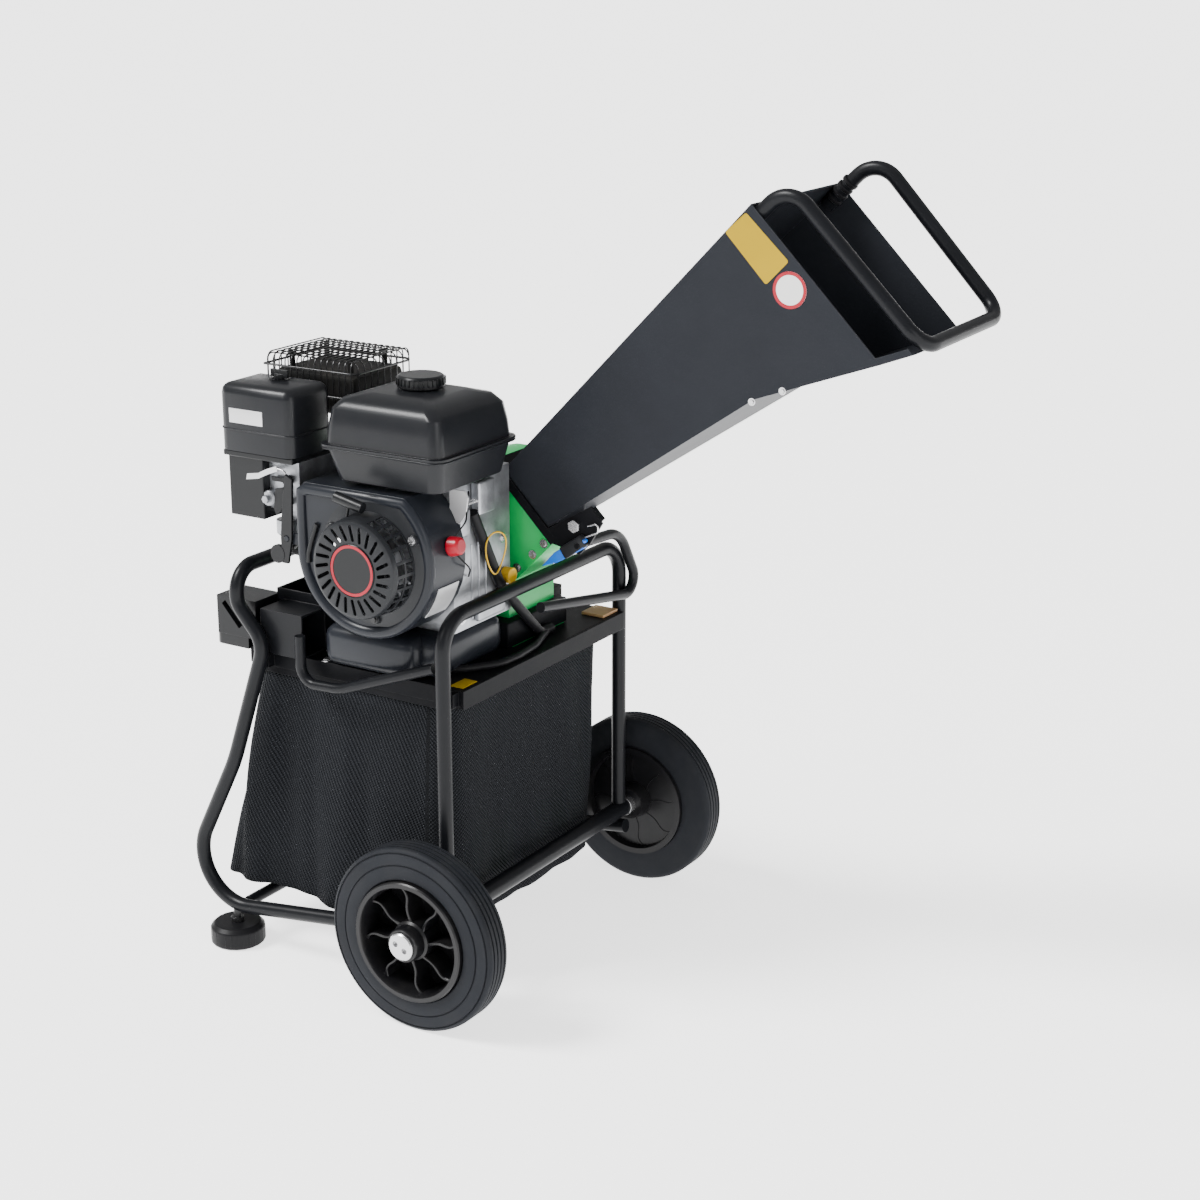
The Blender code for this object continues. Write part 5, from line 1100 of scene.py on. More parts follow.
@dataclass
class TubeFrame:
    """The bent tubes, the axle and the feet."""

    near_y: float = 0.086
    width: float = 0.600
    tube: float = 0.010
    rail: float = 0.0072
    hose: float = 0.007
    sides: int = 28
    pad_radius: float = 0.038
    pad_ribs: int = 28

    def across(self, point: Point) -> Point:
        """The point's twin on the far side."""
        return (point[0], self.width - point[1], point[2])

    def bent_tubes(self) -> None:
        """The hoop, the loop over the feet, the side rails and the hoses, with smooth bends."""
        y = self.near_y
        half_hoop = [(0, y, 0.1378), (0, y, 0.530)]
        hoop = half_hoop + [self.across(p) for p in half_hoop[::-1]]
        half_loop = [(0.0125, y, 0.1019), (-0.4715, y, 0.0395), (-0.3525, y, 0.272), (-0.2905, y, 0.450),
                     (-0.3345, y, 0.500), (-0.3345, y, 0.547)]
        loop = half_loop + [self.across(p) for p in half_loop[::-1]]
        loop_bends = (0.0702, 0.30, 0.040, 0.030, 0.034)
        rail = [(-0.2335, 0.0905, 0.470), (-0.2335, 0.0905, 0.405), (-0.165, y, 0.4095), (-0.013, y, 0.466)]
        far_loop = [(0.0175, *p) for p in (
            (0.400, 0.5615), (0.4855, 0.5555), (0.545, 0.452), (0.285, 0.4985))]
        brace = [(-0.0227, *p) for p in (
            (0.190, 0.645), (0.252, 0.530), (0.345, 0.4403), (0.372, 0.4403))]
        rows = (
            ("wheel_side_hoop", hoop, (0.045, 0.045), self.tube, POWDER_BLACK),
            ("feet_side_loop", loop, loop_bends + loop_bends[::-1], self.tube, POWDER_BLACK),
            ("side_rail", rail, (0.024, 0.080), self.rail, POWDER_BLACK),
            ("far_side_loop", far_loop, (0.055, 0.022), self.rail, POWDER_BLACK),
            ("brace_tube", brace, (0.12, 0.020), self.hose, HOSE_RUBBER),
        )
        for node, corners, bends, radius, finish in rows:
            RULES.wires(f"{node}_smooth", [bent(corners, bends, 24)], radius, finish, self.sides,
                        body=BODY_OF[node], stands_for=[node])
        loose = bent([(-0.0200, 0.355, 0.4385), (-0.0010, 0.300, 0.4385), (0.0040, 0.250, 0.4385),
                      (0.0010, 0.212, 0.4385), (-0.0257, 0.170, 0.4385), (-0.0400, 0.160, 0.4385)], 0.05, 6)
        RULES.wires("deck_hose", [loose], 0.0052, HOSE_RUBBER, 12)

    def pads(self) -> None:
        """Round rubber pads with upright ribs round their sides."""
        for side in ("near", "far"):
            node = f"{side}_foot_pad"
            low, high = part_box(node)
            middle = (low + high) / 2 - ORIGIN
            rib = block("pad_rib", (self.pad_radius - 0.0025, -0.0010, 0.0050),
                        (self.pad_radius - 0.0002, 0.0010, 0.0235), 0.0004)
            rib.data.transform(Matrix.Rotation(radians(-90), 4, "X"))
            ribs = RULES.turned_copies(rib, self.pad_ribs, HOSE_RUBBER)
            ribs.data.transform(Matrix.Rotation(radians(90), 4, "X"))
            ribs = shifted(ribs, (middle.x, middle.y, 0))
            ribs.name = f"{side}_pad_ribs"
            settle(ribs, HOSE_RUBBER, f"{side}_foot")
            refined(node, HOSE_RUBBER, 0.0012)

    def build(self) -> None:
        """Dresses the frame."""
        self.bent_tubes()
        for node in ("axle_tube", "foot_cross_bar"):
            refined(node, POWDER_BLACK, 0.0005)
        refined("wheel_axle", ZINC_STEEL, 0.0003)
        for node in ("near_foot_stud", "far_foot_stud"):
            refined(node, WIRE_BLACK, 0.0003)
        self.pads()


@dataclass
class Deck:
    """The folded deck, its brackets and small fittings."""

    top: float = 0.433
    tabs: tuple[tuple[Flat, Flat], ...] = (
        ((-0.012, 0.118), (0.008, 0.150)), ((-0.082, 0.146), (-0.056, 0.160)),
    )
    tab_height: float = 0.0012
    # A dark block over the housing's green foot: partly a dark block there, partly painted shadow beside it.
    dark_fill: tuple[Point, Point] = ((-0.1100, 0.2780, 0.4335), (-0.0302, 0.4240, 0.4690))
    scrap: tuple[Flat, Flat] = ((-0.030, 0.462), (0.006, 0.500))
    scrap_height: float = 0.004
    screws: tuple[Flat, ...] = ((-0.045, 0.165), (-0.180, 0.480), (-0.310, 0.480), (-0.210, 0.115))

    def build(self) -> None:
        """Dresses the deck and adds its screws and plain tabs."""
        for node in ("deck_plate", "deck_edge_angle", "bag_rim"):
            refined(node, DECK_BLACK, 0.0007)
        refined("bracket_channel", POWDER_BLACK, 0.0030, segments=4)
        refined("handle_latch", MOULDED_BLACK, 0.0025, segments=3)
        # The dark block hides the housing's green foot. It stands partly for a dark block and partly for
        # painted shadow beside it.
        low, high = self.dark_fill
        settle(block("chute_shroud", low, high, 0.002), DECK_BLACK)
        flats = [(f"plain_tab_{i}", *tab, self.tab_height, PATCH_YELLOW) for i, tab in enumerate(self.tabs)]
        flats.append(("wood_scrap", *self.scrap, self.scrap_height, SCRAP_WOOD))
        for name, near, far, height, finish in flats:
            settle(block(name, (*near, self.top), (*far, self.top + height), 0.0004), finish)
        RULES.screws("deck_screws", [(x, y, self.top) for x, y in self.screws], (0, 0, 1), ZINC_STEEL,
                     (0.0042, 0.0030, 0.0065))


@dataclass
class Bag:
    """The cloth bag: a lofted shell that hangs from its rim, bellies out and folds."""

    top_low: Flat = (-0.331, 0.113)
    top_high: Flat = (-0.0105, 0.485)
    foot_low: Flat = (-0.418, 0.112)
    foot_high: Flat = (-0.022, 0.490)
    top: float = 0.4004
    foot: float = 0.080
    corner: float = 0.030
    columns: int = 220
    rows: int = 46
    crest: float = 0.0070
    trough: float = 0.0160
    belly: float = 0.0030
    calm: float = 0.65
    calm_turn: float = 0.125
    hang_curve: float = 0.6
    least_fold: float = 0.12
    draw_in: float = 0.003
    sag: float = 0.006
    cloth: float = 0.0016
    hem: float = 0.02
    seam: float = 1.46
    floor_rings: int = 6
    floor_sag: float = 0.004
    waves: tuple[tuple[int, float, float], ...] = (
        (3, 0.40, 2.0), (7, 0.52, 3.0), (12, 0.46, 4.5), (19, 0.34, 6.0), (31, 0.12, 9.0),
    )
    seed: int = 11

    def ring(self, share: float) -> list[tuple[float, float, float]]:
        """The rounded rectangle at a share of the height, as X, Y and the length walked round it.

        Args:
            share: the share of the height, from the foot.

        Returns:
            The points, evenly spaced.
        """
        low = [a + (b - a) * share for a, b in zip(self.foot_low, self.top_low)]
        high = [a + (b - a) * share for a, b in zip(self.foot_high, self.top_high)]
        c = self.corner
        corners = [((high[0] - c, low[1] + c), -90), ((high[0] - c, high[1] - c), 0),
                   ((low[0] + c, high[1] - c), 90), ((low[0] + c, low[1] + c), 180)]
        outline: list[Vector] = []
        for (x, y), start in corners:
            for k in range(9):
                a = radians(start + 90 * k / 8)
                outline.append(Vector((x + c * cos(a), y + c * sin(a))))
        lengths = [0.0]
        for a, b in zip(outline, outline[1:] + outline[:1]):
            lengths.append(lengths[-1] + (b - a).length)
        total = lengths[-1]
        result = []
        at = 0
        for k in range(self.columns):
            want = total * k / self.columns
            while lengths[at + 1] < want:
                at += 1
            a, b = outline[at], outline[(at + 1) % len(outline)]
            part = (want - lengths[at]) / max(1e-9, lengths[at + 1] - lengths[at])
            spot = a.lerp(b, part)
            result.append((spot.x, spot.y, want))
        return result

    def push(self, turn: float, share: float, waves: Sequence[tuple[int, float, float, float]]) -> float:
        """How far the cloth stands out at a turn round the bag and a share of its height.

        Args:
            turn: the share of the way round.
            share: the share of the height, from the foot.
            waves: each wave's number, size, phase and slant.

        Returns:
            The distance outwards.
        """
        hang = (1 - share) ** self.hang_curve
        fold = sum(size * sin(number * 2 * pi * turn + phase + slant * share)
                   for number, size, phase, slant in waves)
        calm = 1 - self.calm * max(0.0, cos(2 * pi * (turn - self.calm_turn)))
        depth = self.crest if fold > 0 else self.trough
        belly = self.belly * sin(pi * (1 - share))
        strength = self.least_fold + (1 - self.least_fold) * hang
        return depth * fold * calm * strength + belly - self.draw_in * hang

    def build(self) -> None:
        chance = Random(self.seed)
        waves = [(number, size, chance.uniform(0, 2 * pi), chance.uniform(-slant, slant))
                 for number, size, slant in self.waves]
        shape = bmesh.new()
        flat = shape.loops.layers.uv.new("UVMap")
        grid = []
        where = {}
        for r in range(self.rows + 1):
            share = 1 - r / self.rows
            ring = self.ring(share)
            middle = Vector((sum(p[0] for p in ring), sum(p[1] for p in ring))) / len(ring)
            line = []
            for k, (x, y, walked) in enumerate(ring):
                before, ahead = ring[k - 1], ring[(k + 1) % len(ring)]
                tangent = Vector((ahead[0] - before[0], ahead[1] - before[1])).normalized()
                out = Vector((tangent.y, -tangent.x))
                if out.dot(Vector((x, y)) - middle) < 0:
                    out = -out
                reach = self.push(k / self.columns, share, waves)
                sag = -self.sag * (1 - share) ** 3 * (0.5 + 0.5 * sin(4 * pi * k / self.columns + 0.8))
                height = self.foot + (self.top - self.foot) * share + sag
                made = shape.verts.new((x + out.x * reach, y + out.y * reach, height))
                where[made] = (walked, height)
                line.append(made)
            grid.append(line)
        follow = [(k, (k + 1) % self.columns) for k in range(self.columns)]
        for upper, lower in zip(grid, grid[1:]):
            for k, j in follow:
                face = shape.faces.new((upper[k], lower[k], lower[j], upper[j]))
                for loop in face.loops:
                    walked, height = where[loop.vert]
                    if j == 0 and loop.vert in (upper[0], lower[0]):
                        walked = self.seam
                    loop[flat].uv = (walked, height)
        inner = grid[-1]
        rim = [v.co.copy() for v in inner]
        middle = sum(rim, Vector()) / len(rim)
        bottom = self.foot - self.floor_sag
        floor = []
        for step in range(1, self.floor_rings):
            keep = 1 - step / self.floor_rings
            line = [shape.verts.new((
                middle.x + (p.x - middle.x) * keep, middle.y + (p.y - middle.y) * keep,
                p.z + (bottom - p.z) * (1 - keep ** 3))) for p in rim]
            floor += [shape.faces.new((inner[k], line[k], line[j], inner[j])) for k, j in follow]
            inner = line
        centre = shape.verts.new((middle.x, middle.y, bottom))
        floor += [shape.faces.new((inner[k], centre, inner[j])) for k, j in follow]
        for face in floor:
            for loop in face.loops:
                loop[flat].uv = loop.vert.co.xy
        area = sum(f.calc_area() for f in shape.faces)
        bmesh.ops.recalc_face_normals(shape, faces=shape.faces)
        first = next(iter(shape.faces))
        if first.normal.dot(first.calc_center_median() - middle) < 0:
            bmesh.ops.reverse_faces(shape, faces=shape.faces)
        mesh = bpy.data.meshes.new("bag_shell")
        shape.to_mesh(mesh)
        shape.free()
        mesh.shade_smooth()
        made = linked("bag_shell", mesh)
        wall = made.modifiers.new("wall", "SOLIDIFY")
        wall.thickness = self.cloth
        wall.offset = -1
        settle(made, BAG_CLOTH, FIXED, ["collection_bag"])


@dataclass
class Starter:
    """The pull starter: slotted cup with side windows, plain disc and ring, bosses and screws."""

    face_y: float = 0.034
    face_r: float = 0.0645
    base_r: float = 0.080
    brim_r: float = 0.0855
    flare_y: float = 0.0755
    rim_y: float = 0.0847
    wall: float = 0.002
    slots: int = 24
    slot_inner: float = 0.0375
    slot_outer: float = 0.0590
    slot_width: float = 0.0046
    skew: float = radians(14)
    disc_r: float = 0.0340
    ring_r: float = 0.0312
    ring_half: float = 0.0018
    windows: int = 11
    window_step: float = radians(15.5)
    window_half: float = 0.0066
    window_lean: float = radians(62)
    window_turn: float = radians(-130)
    window_rows: tuple[Flat, ...] = ((0.009, 0.0225), (0.0255, 0.0385))
    boss_reach: float = 0.0745
    boss_turns: tuple[float, ...] = (31.0, 151.0, 271.0)
    boss_root: float = 0.0846
    boss_face: float = 0.0738
    screw: Point = (0.0038, 0.0028, 0.0056)

    def cup(self) -> Piece:
        """The cup with its slots and windows cut out.

        Returns:
            The piece.
        """
        y, r, w = self.face_y, self.face_r, self.wall
        made = lathe("starter_cup", [
            (0, y + w), (r - w - 0.005, y + w), (r - w - 0.0015, y + w + 0.0015), (r - w, y + w + 0.005),
            (r - w + 0.002, self.flare_y + w), (self.base_r - w, self.rim_y), (self.brim_r, self.rim_y),
            (self.brim_r, self.rim_y - 0.0032), (self.base_r, self.rim_y - 0.0040),
            (r + 0.0024, self.flare_y), (r, y + 0.006), (r - 0.0018, y + 0.0018), (r - 0.006, y),
            (self.disc_r + 0.001, y), (self.disc_r + 0.001, y + 0.0010), (0, y + 0.0010),
        ], (0, 0, 0), 120)
        length = self.slot_outer - self.slot_inner
        outline = []
        for x, z in stadium(length, self.slot_width):
            turned = Vector((x, z))
            turned.rotate(Matrix.Rotation(self.skew, 2))
            outline.append((turned.x + (self.slot_inner + self.slot_outer) / 2, turned.y))
        slot = prism("slot", outline, y - 0.004, y + w + 0.004)
        made = carved(made, RULES.turned_copies(slot, self.slots, STARTER_GREY))
        for near, far in self.window_rows:
            window = block("window", (r - 0.008, y + near, -self.window_half),
                           (r + 0.012, y + far, self.window_half))
            window.data.transform(Matrix.Rotation(self.window_lean, 4, "Y"))
            row = RULES.turned_copies(window, self.windows, STARTER_GREY, self.window_step)
            row.data.transform(Matrix.Rotation(self.window_turn, 4, "Y"))
            made = carved(made, row)
        return shifted(made, CRANK)

    def middle(self) -> None:
        """The plain dark disc and the red ring round it."""
        y = self.face_y
        disc = lathe("starter_disc", [
            (0, y + 0.0010), (self.disc_r, y + 0.0010), (self.disc_r, y - 0.0002),
            (self.disc_r - 0.0008, y - 0.0010), (0, y - 0.0010),
        ], CRANK, 72)
        settle(disc, MOULDED_BLACK)
        inner, outer = self.ring_r - self.ring_half, self.ring_r + self.ring_half
        settle(lathe("starter_ring", oblong(inner, outer, y - 0.0008, y - 0.0015), CRANK, 96), KNOB_RED)

    def bosses(self) -> None:
        """Three screw bosses beside the cup, each with its screw."""
        root, face = self.boss_root, self.boss_face
        profile = [(0, root), (0.0075, root), (0.0068, 0.0745), (0.0060, face), (0, face)]
        places = [(CRANK_X + self.boss_reach * cos(radians(turn)), face,
                   CRANK_Z + self.boss_reach * sin(radians(turn))) for turn in self.boss_turns]
        parts = [lathe("boss", profile, (x, 0, z), 28) for x, _, z in places]
        settle(joined("starter_bosses", parts), STARTER_GREY)
        RULES.screws("starter_screw", places[:1], TOWARDS_NEAR, ZINC_STEEL, self.screw)
        RULES.screws("dark_screws", places[1:], TOWARDS_NEAR, WIRE_BLACK, self.screw)

    def build(self) -> None:
        """Makes and dresses the starter."""
        settle(self.cup(), STARTER_GREY, FIXED, ["recoil_housing"])
        self.middle()
        self.bosses()
        refined("starter_reel", STARTER_GREY, 0.0005)
        refined("starter_grip", MOULDED_BLACK, 0.0012)


@dataclass
class Engine:
    """The rest of the engine: covers, castings, tank, air cleaner, carburettor and exhaust."""

    cover_centre: Flat = (-0.118, 0.597)
    cover_r: float = 0.108
    cover_left: float = -0.2255
    cover_top: float = 0.683
    bead_r: float = 0.0086
    bead_y: float = 0.0880
    plinth_round: float = 0.016
    cap_centre: Flat = (-0.093, 0.181)
    cap_base: float = 0.8063
    cap_ribs: int = 30
    case_face: float = -0.030
    case_bolts: tuple[Flat, ...] = (
        (0.172, 0.505), (0.172, 0.600), (0.240, 0.505), (0.268, 0.592), (0.235, 0.660), (0.176, 0.668),
    )
    lugs: tuple[tuple[Flat, Flat, float, float], ...] = (
        ((0.196, 0.640), (0.232, 0.684), 0.014, 0.003), ((0.160, 0.618), (0.182, 0.652), 0.010, 0.0025),
        ((0.200, 0.495), (0.262, 0.524), 0.008, 0.0025),
    )
    spring_from: Point = (-0.018, 0.158, 0.662)
    spring_r: float = 0.0028
    spring_run: float = 0.034
    spring_turns: int = 12
    spring_steps: int = 120
    guard_inset: float = 0.0014
    guard_hoop: float = 0.0016

    def cover(self) -> None:
        """The fan cover, the thick bead along its front edge and its side vents."""
        refined("fan_cover", COVER_SLATE, 0.0035, segments=3)
        inset = self.bead_r
        radius = self.cover_r - inset
        lift = degrees(asin((self.cover_top - inset - self.cover_centre[1]) / radius))
        path = [(self.cover_centre[0] + radius * cos(radians(a)), self.bead_y,
                 self.cover_centre[1] + radius * sin(radians(a)))
                for a in (lift + (-175 - lift) * i / 60 for i in range(61))]
        left = self.cover_left + inset
        path += [(left, self.bead_y, self.cover_centre[1] + 0.02)]
        path += [(left, self.bead_y, self.cover_top - 0.014)]
        path += [(left + 0.010, self.bead_y, self.cover_top - inset)]
        RULES.wires("cover_bead", [path], self.bead_r, COVER_SLATE, 18, True)
        places = [(x, 0.0885, 0.6600) for x in (-0.2130, -0.0380)]
        RULES.screws("cover_screws", places, TOWARDS_NEAR, WIRE_BLACK, (0.0040, 0.0030, 0.0060))
        pipe = bent([(-0.191, 0.0830, 0.6305), (-0.2003, 0.0830, 0.6078), (-0.206, 0.0830, 0.5909),
                     (-0.2067, 0.0830, 0.5773)], 0.02)
        RULES.wires("cover_pipe", [pipe], 0.0034, MOULDED_BLACK, 14)

    def side_plate(self) -> None:
        """A blank curved plate on the right of the fan cover."""
        x, z = self.cover_centre
        section = oblong(self.cover_r + 0.0002, self.cover_r + 0.0011, 0.1000, 0.1440)
        rings = []
        for i in range(9):
            angle = radians(-16 - 25 * i / 8)
            rings.append([(x + radius * cos(angle), y, z + radius * sin(angle)) for radius, y in section])
        settle(loft("blank_side_plate", rings), PLATE_SILVER)

    def castings(self) -> None:
        """Crankcase, cylinder and what is bolted on them."""
        refined("crankcase", CAST_SILVER, 0.0022, segments=3)
        refined("cylinder_block", CAST_SILVER, 0.0)
        refined("flywheel_fan", CAST_SILVER, 0.0)
        refined("rocker_cover", MOULDED_BLACK, 0.0008)
        low, high = drawn_box("engine_plinth")
        narrow = block("plinth_front", low, (high.x - 0.028, low.y + 0.060, high.z), self.plinth_round)
        wide = block("plinth_back", (low.x, low.y + 0.022, low.z), high, self.plinth_round)
        settle(joined("plinth_blocks", [narrow, wide], 50), COVER_SLATE, FIXED, ["engine_plinth"])
        refined("spark_plug_lead", HOSE_RUBBER, 0.0)
        refined("crankshaft", ZINC_STEEL, 0.0)
        face = self.case_face
        places = [(face, y, z) for y, z in self.case_bolts]
        RULES.screws("case_bolts", places, (1, 0, 0), ZINC_STEEL, (0.0048, 0.0040, 0.0072))
        parts = [block("lug", (face, *near), (face + out, *far), soft) for near, far, out, soft in self.lugs]
        settle(joined("case_lugs", parts, 50), CAST_SILVER)
        ribs = [[(face, y, 0.500), (face, y, 0.600)] for y in (0.196, 0.212, 0.228)]
        RULES.wires("case_ribs", ribs, 0.0016, CAST_SILVER, 8)
        outline = [(-0.030, 0.684), (-0.006, 0.684), (-0.002, 0.676), (-0.006, 0.652), (-0.016, 0.640),
                   (-0.030, 0.646)]
        settle(prism("governor_bracket", outline, 0.150, 0.1525), PLATE_SILVER)
        x, y, z = self.spring_from
        spring = []
        for i in range(self.spring_steps + 1):
            share = i / self.spring_steps
            turn = 2 * pi * self.spring_turns * share
            spring.append((x + self.spring_r * cos(turn), y + self.spring_run * share,
                           z + self.spring_r * sin(turn)))
        RULES.wires("governor_spring", [spring], 0.0005, ZINC_STEEL, 6)

    def controls(self) -> None:
        """Stop switch, its wires, the oil cap with its loop and the levers."""
        refined("stop_switch_knob", KNOB_RED, 0.0030, segments=3)
        refined("oil_filler_cap", CAP_YELLOW, 0.0012)
        loop = [(-0.012 + 0.003 * sin(2 * a), 0.226 + 0.022 * cos(a), 0.584 + 0.028 * sin(a))
                for a in (2 * pi * i / 40 for i in range(40))]
        RULES.wires("oil_cap_loop", [loop], 0.0011, CAP_YELLOW, 8, True)
        corners = (
            ((-0.006, 0.128, 0.632), (0.002, 0.140, 0.648), (-0.010, 0.160, 0.662), (-0.016, 0.172, 0.678)),
            ((-0.006, 0.130, 0.606), (0.000, 0.146, 0.588), (-0.014, 0.170, 0.575), (-0.028, 0.186, 0.560)),
        )
        RULES.wires("switch_wires", [bent(row, 0.012) for row in corners], 0.0011, HOSE_RUBBER, 8)
        refined("throttle_lever", MOULDED_BLACK, 0.0008, segments=3)
        refined("choke_lever", MOULDED_BLACK, 0.0007)
        refined("fuel_valve_lever", ZINC_STEEL, 0.0006)

    def tank(self) -> None:
        """The tank, its cap and the ribs round the cap."""
        refined("fuel_tank_lower", TANK_BLACK, 0.0016, segments=3)
        refined("fuel_tank_upper", TANK_BLACK, 0.0016, segments=3)
        refined("fuel_cap", MOULDED_BLACK, 0.0012)
        rib = block("cap_rib", (0.0300, 0.0012, -0.0011), (0.0322, 0.0100, 0.0011), 0.0003)
        ribs = RULES.turned_copies(rib, self.cap_ribs, MOULDED_BLACK)
        ribs.data.transform(Matrix.Rotation(radians(90), 4, "X"))
        ribs = shifted(ribs, (*self.cap_centre, self.cap_base))
        ribs.name = "fuel_cap_ribs"
        settle(ribs, MOULDED_BLACK, "tank_cap")

    def air(self) -> None:
        """Air cleaner, its belt, recess, blank plate and the carburettor."""
        refined("air_cleaner_cover", TANK_BLACK, 0.0, segments=3)
        refined("air_cleaner_base", MOULDED_BLACK, 0.0015)
        refined("cover_wing_nut", MOULDED_BLACK, 0.0006)
        refined("carburettor", CAST_SILVER, 0.0020, segments=3)
        low = Vector((-0.3502, 0.0848, 0.738))
        high = Vector((-0.2288, 0.1712, 0.738))
        belt = bent([low, (high.x, low.y, low.z), high, (low.x, high.y, low.z)], 0.0145, closed=True)
        RULES.wires("cleaner_belt", [belt], 0.0011, TANK_BLACK, 8, True)
        plate = block("blank_cleaner_plate", (-0.3310, 0.0844, 0.7470), (-0.2760, 0.0852, 0.7660), 0.0003)
        settle(plate, PLATE_SILVER)
        ring = oblong(0.0105, 0.0135, 0.0001, 0.0010)
        settle(lathe("nut_recess", ring, (-0.290, 0.140, 0.798), 40, True), MOULDED_BLACK)
        spot = (-0.2806, 0.106, 0.6490)
        elbow = [(0, -0.012), (0.009, -0.012), (0.0106, -0.010), (0.0106, 0.012), (0, 0.012)]
        parts = [lathe("elbow", elbow, spot, 32),
                 lathe("nut", oblong(0, 0.0052, -0.018, -0.011), spot, 6),
                 lathe("bowl", [(0, -0.011), (0.012, -0.011), (0.0150, -0.008), (0.0150, 0.010), (0, 0.010)],
                       (-0.2730, 0.124, 0.6060), 36, True)]
        settle(joined("carburettor_elbow", parts), CAST_SILVER)
        arm = prism("choke_arm", [
            (-0.3140, 0.6710), (-0.2935, 0.6745), (-0.2780, 0.6820), (-0.2610, 0.6885), (-0.2630, 0.6950),
            (-0.2795, 0.6890), (-0.2933, 0.6820), (-0.3120, 0.6790),
        ], 0.0925, 0.0950)
        settle(arm, PLATE_SILVER)
        link = prism("link_arm", [
            (-0.2680, 0.6640), (-0.2560, 0.6670), (-0.2540, 0.6560), (-0.2600, 0.6350), (-0.2680, 0.6280),
            (-0.2720, 0.6360),
        ], 0.0955, 0.0980)
        settle(link, MOULDED_BLACK)
        rod = bent([(-0.264, 0.0938, 0.692), (-0.250, 0.0938, 0.690), (-0.2405, 0.0930, 0.662)], 0.006)
        RULES.wires("throttle_rod", [rod], 0.0013, ZINC_STEEL, 8)
        outline = oval((-0.2616, 0.5790), 0.0115, 0.0125, 28)
        settle(prism("throttle_paddle", outline, 0.0862, 0.0914), MOULDED_BLACK, BODY_OF["throttle_lever"])

    def exhaust(self) -> None:
        """The muffler and its bowed cage of wires."""
        refined("muffler", EXHAUST_BLACK, 0.0010)
        low, high = drawn_box("muffler_guard")
        x0, y0, foot = (c + self.guard_inset for c in low)
        x1, y1, roof = (c - self.guard_inset for c in high)
        loops = [bent([(x0, y0, z), (x1, y0, z), (x1, y1, z), (x0, y1, z)], 0.012, 5)
                 for z in (foot + 0.020, roof - 0.016)]
        RULES.wires("guard_hoops", [p + [p[0]] for p in loops], self.guard_hoop, WIRE_BLACK, 8)
        under = roof - self.guard_hoop
        across = [[(x, y0, foot), (x, y0, roof), (x, y1, roof), (x, y1, foot)]
                  for x in spaced(x0, x1, 0.006, 15)]
        across += [[(x0, y, foot), (x0, y, under), (x1, y, under), (x1, y, foot)]
                   for y in spaced(y0, y1, 0.008, 9)]
        RULES.wires("guard_wires", [bent(row, 0.010, 4) for row in across], 0.0010, WIRE_BLACK, 6,
                    stands_for=["muffler_guard"])

    def build(self) -> None:
        """Makes and dresses the engine."""
        self.cover()
        self.side_plate()
        self.castings()
        self.controls()
        self.tank()
        self.air()
        self.exhaust()


@dataclass
class CuttingUnit:
    """The green housing with its rotor and knives."""

    bolts: tuple[Flat, ...] = (
        (0.012, 0.086), (0.045, 0.088), (0.070, 0.088), (-0.010, -0.070), (0.045, -0.060),
    )

    def build(self) -> None:
        """Dresses the unit and adds the housing's bolts."""
        refined("rotor_housing", HOUSING_GREEN, 0.0014, segments=3)
        for node in ("rotor", "knife_a", "knife_b", "bed_knife"):
            refined(node, ZINC_STEEL, 0.0004)
        places = [at_feed(u, w, HOPPER_NEAR_Y) for u, w in self.bolts]
        RULES.screws("housing_bolts", places, TOWARDS_NEAR, ZINC_STEEL, (0.0040, 0.0032, 0.0062))


def at_feed(u: float, w: float, y: float) -> Point:
    """A place u along the feed direction from the crank and w below it."""
    return (CRANK_X + (u + w) * DIAGONAL, y, CRANK_Z + (u - w) * DIAGONAL)


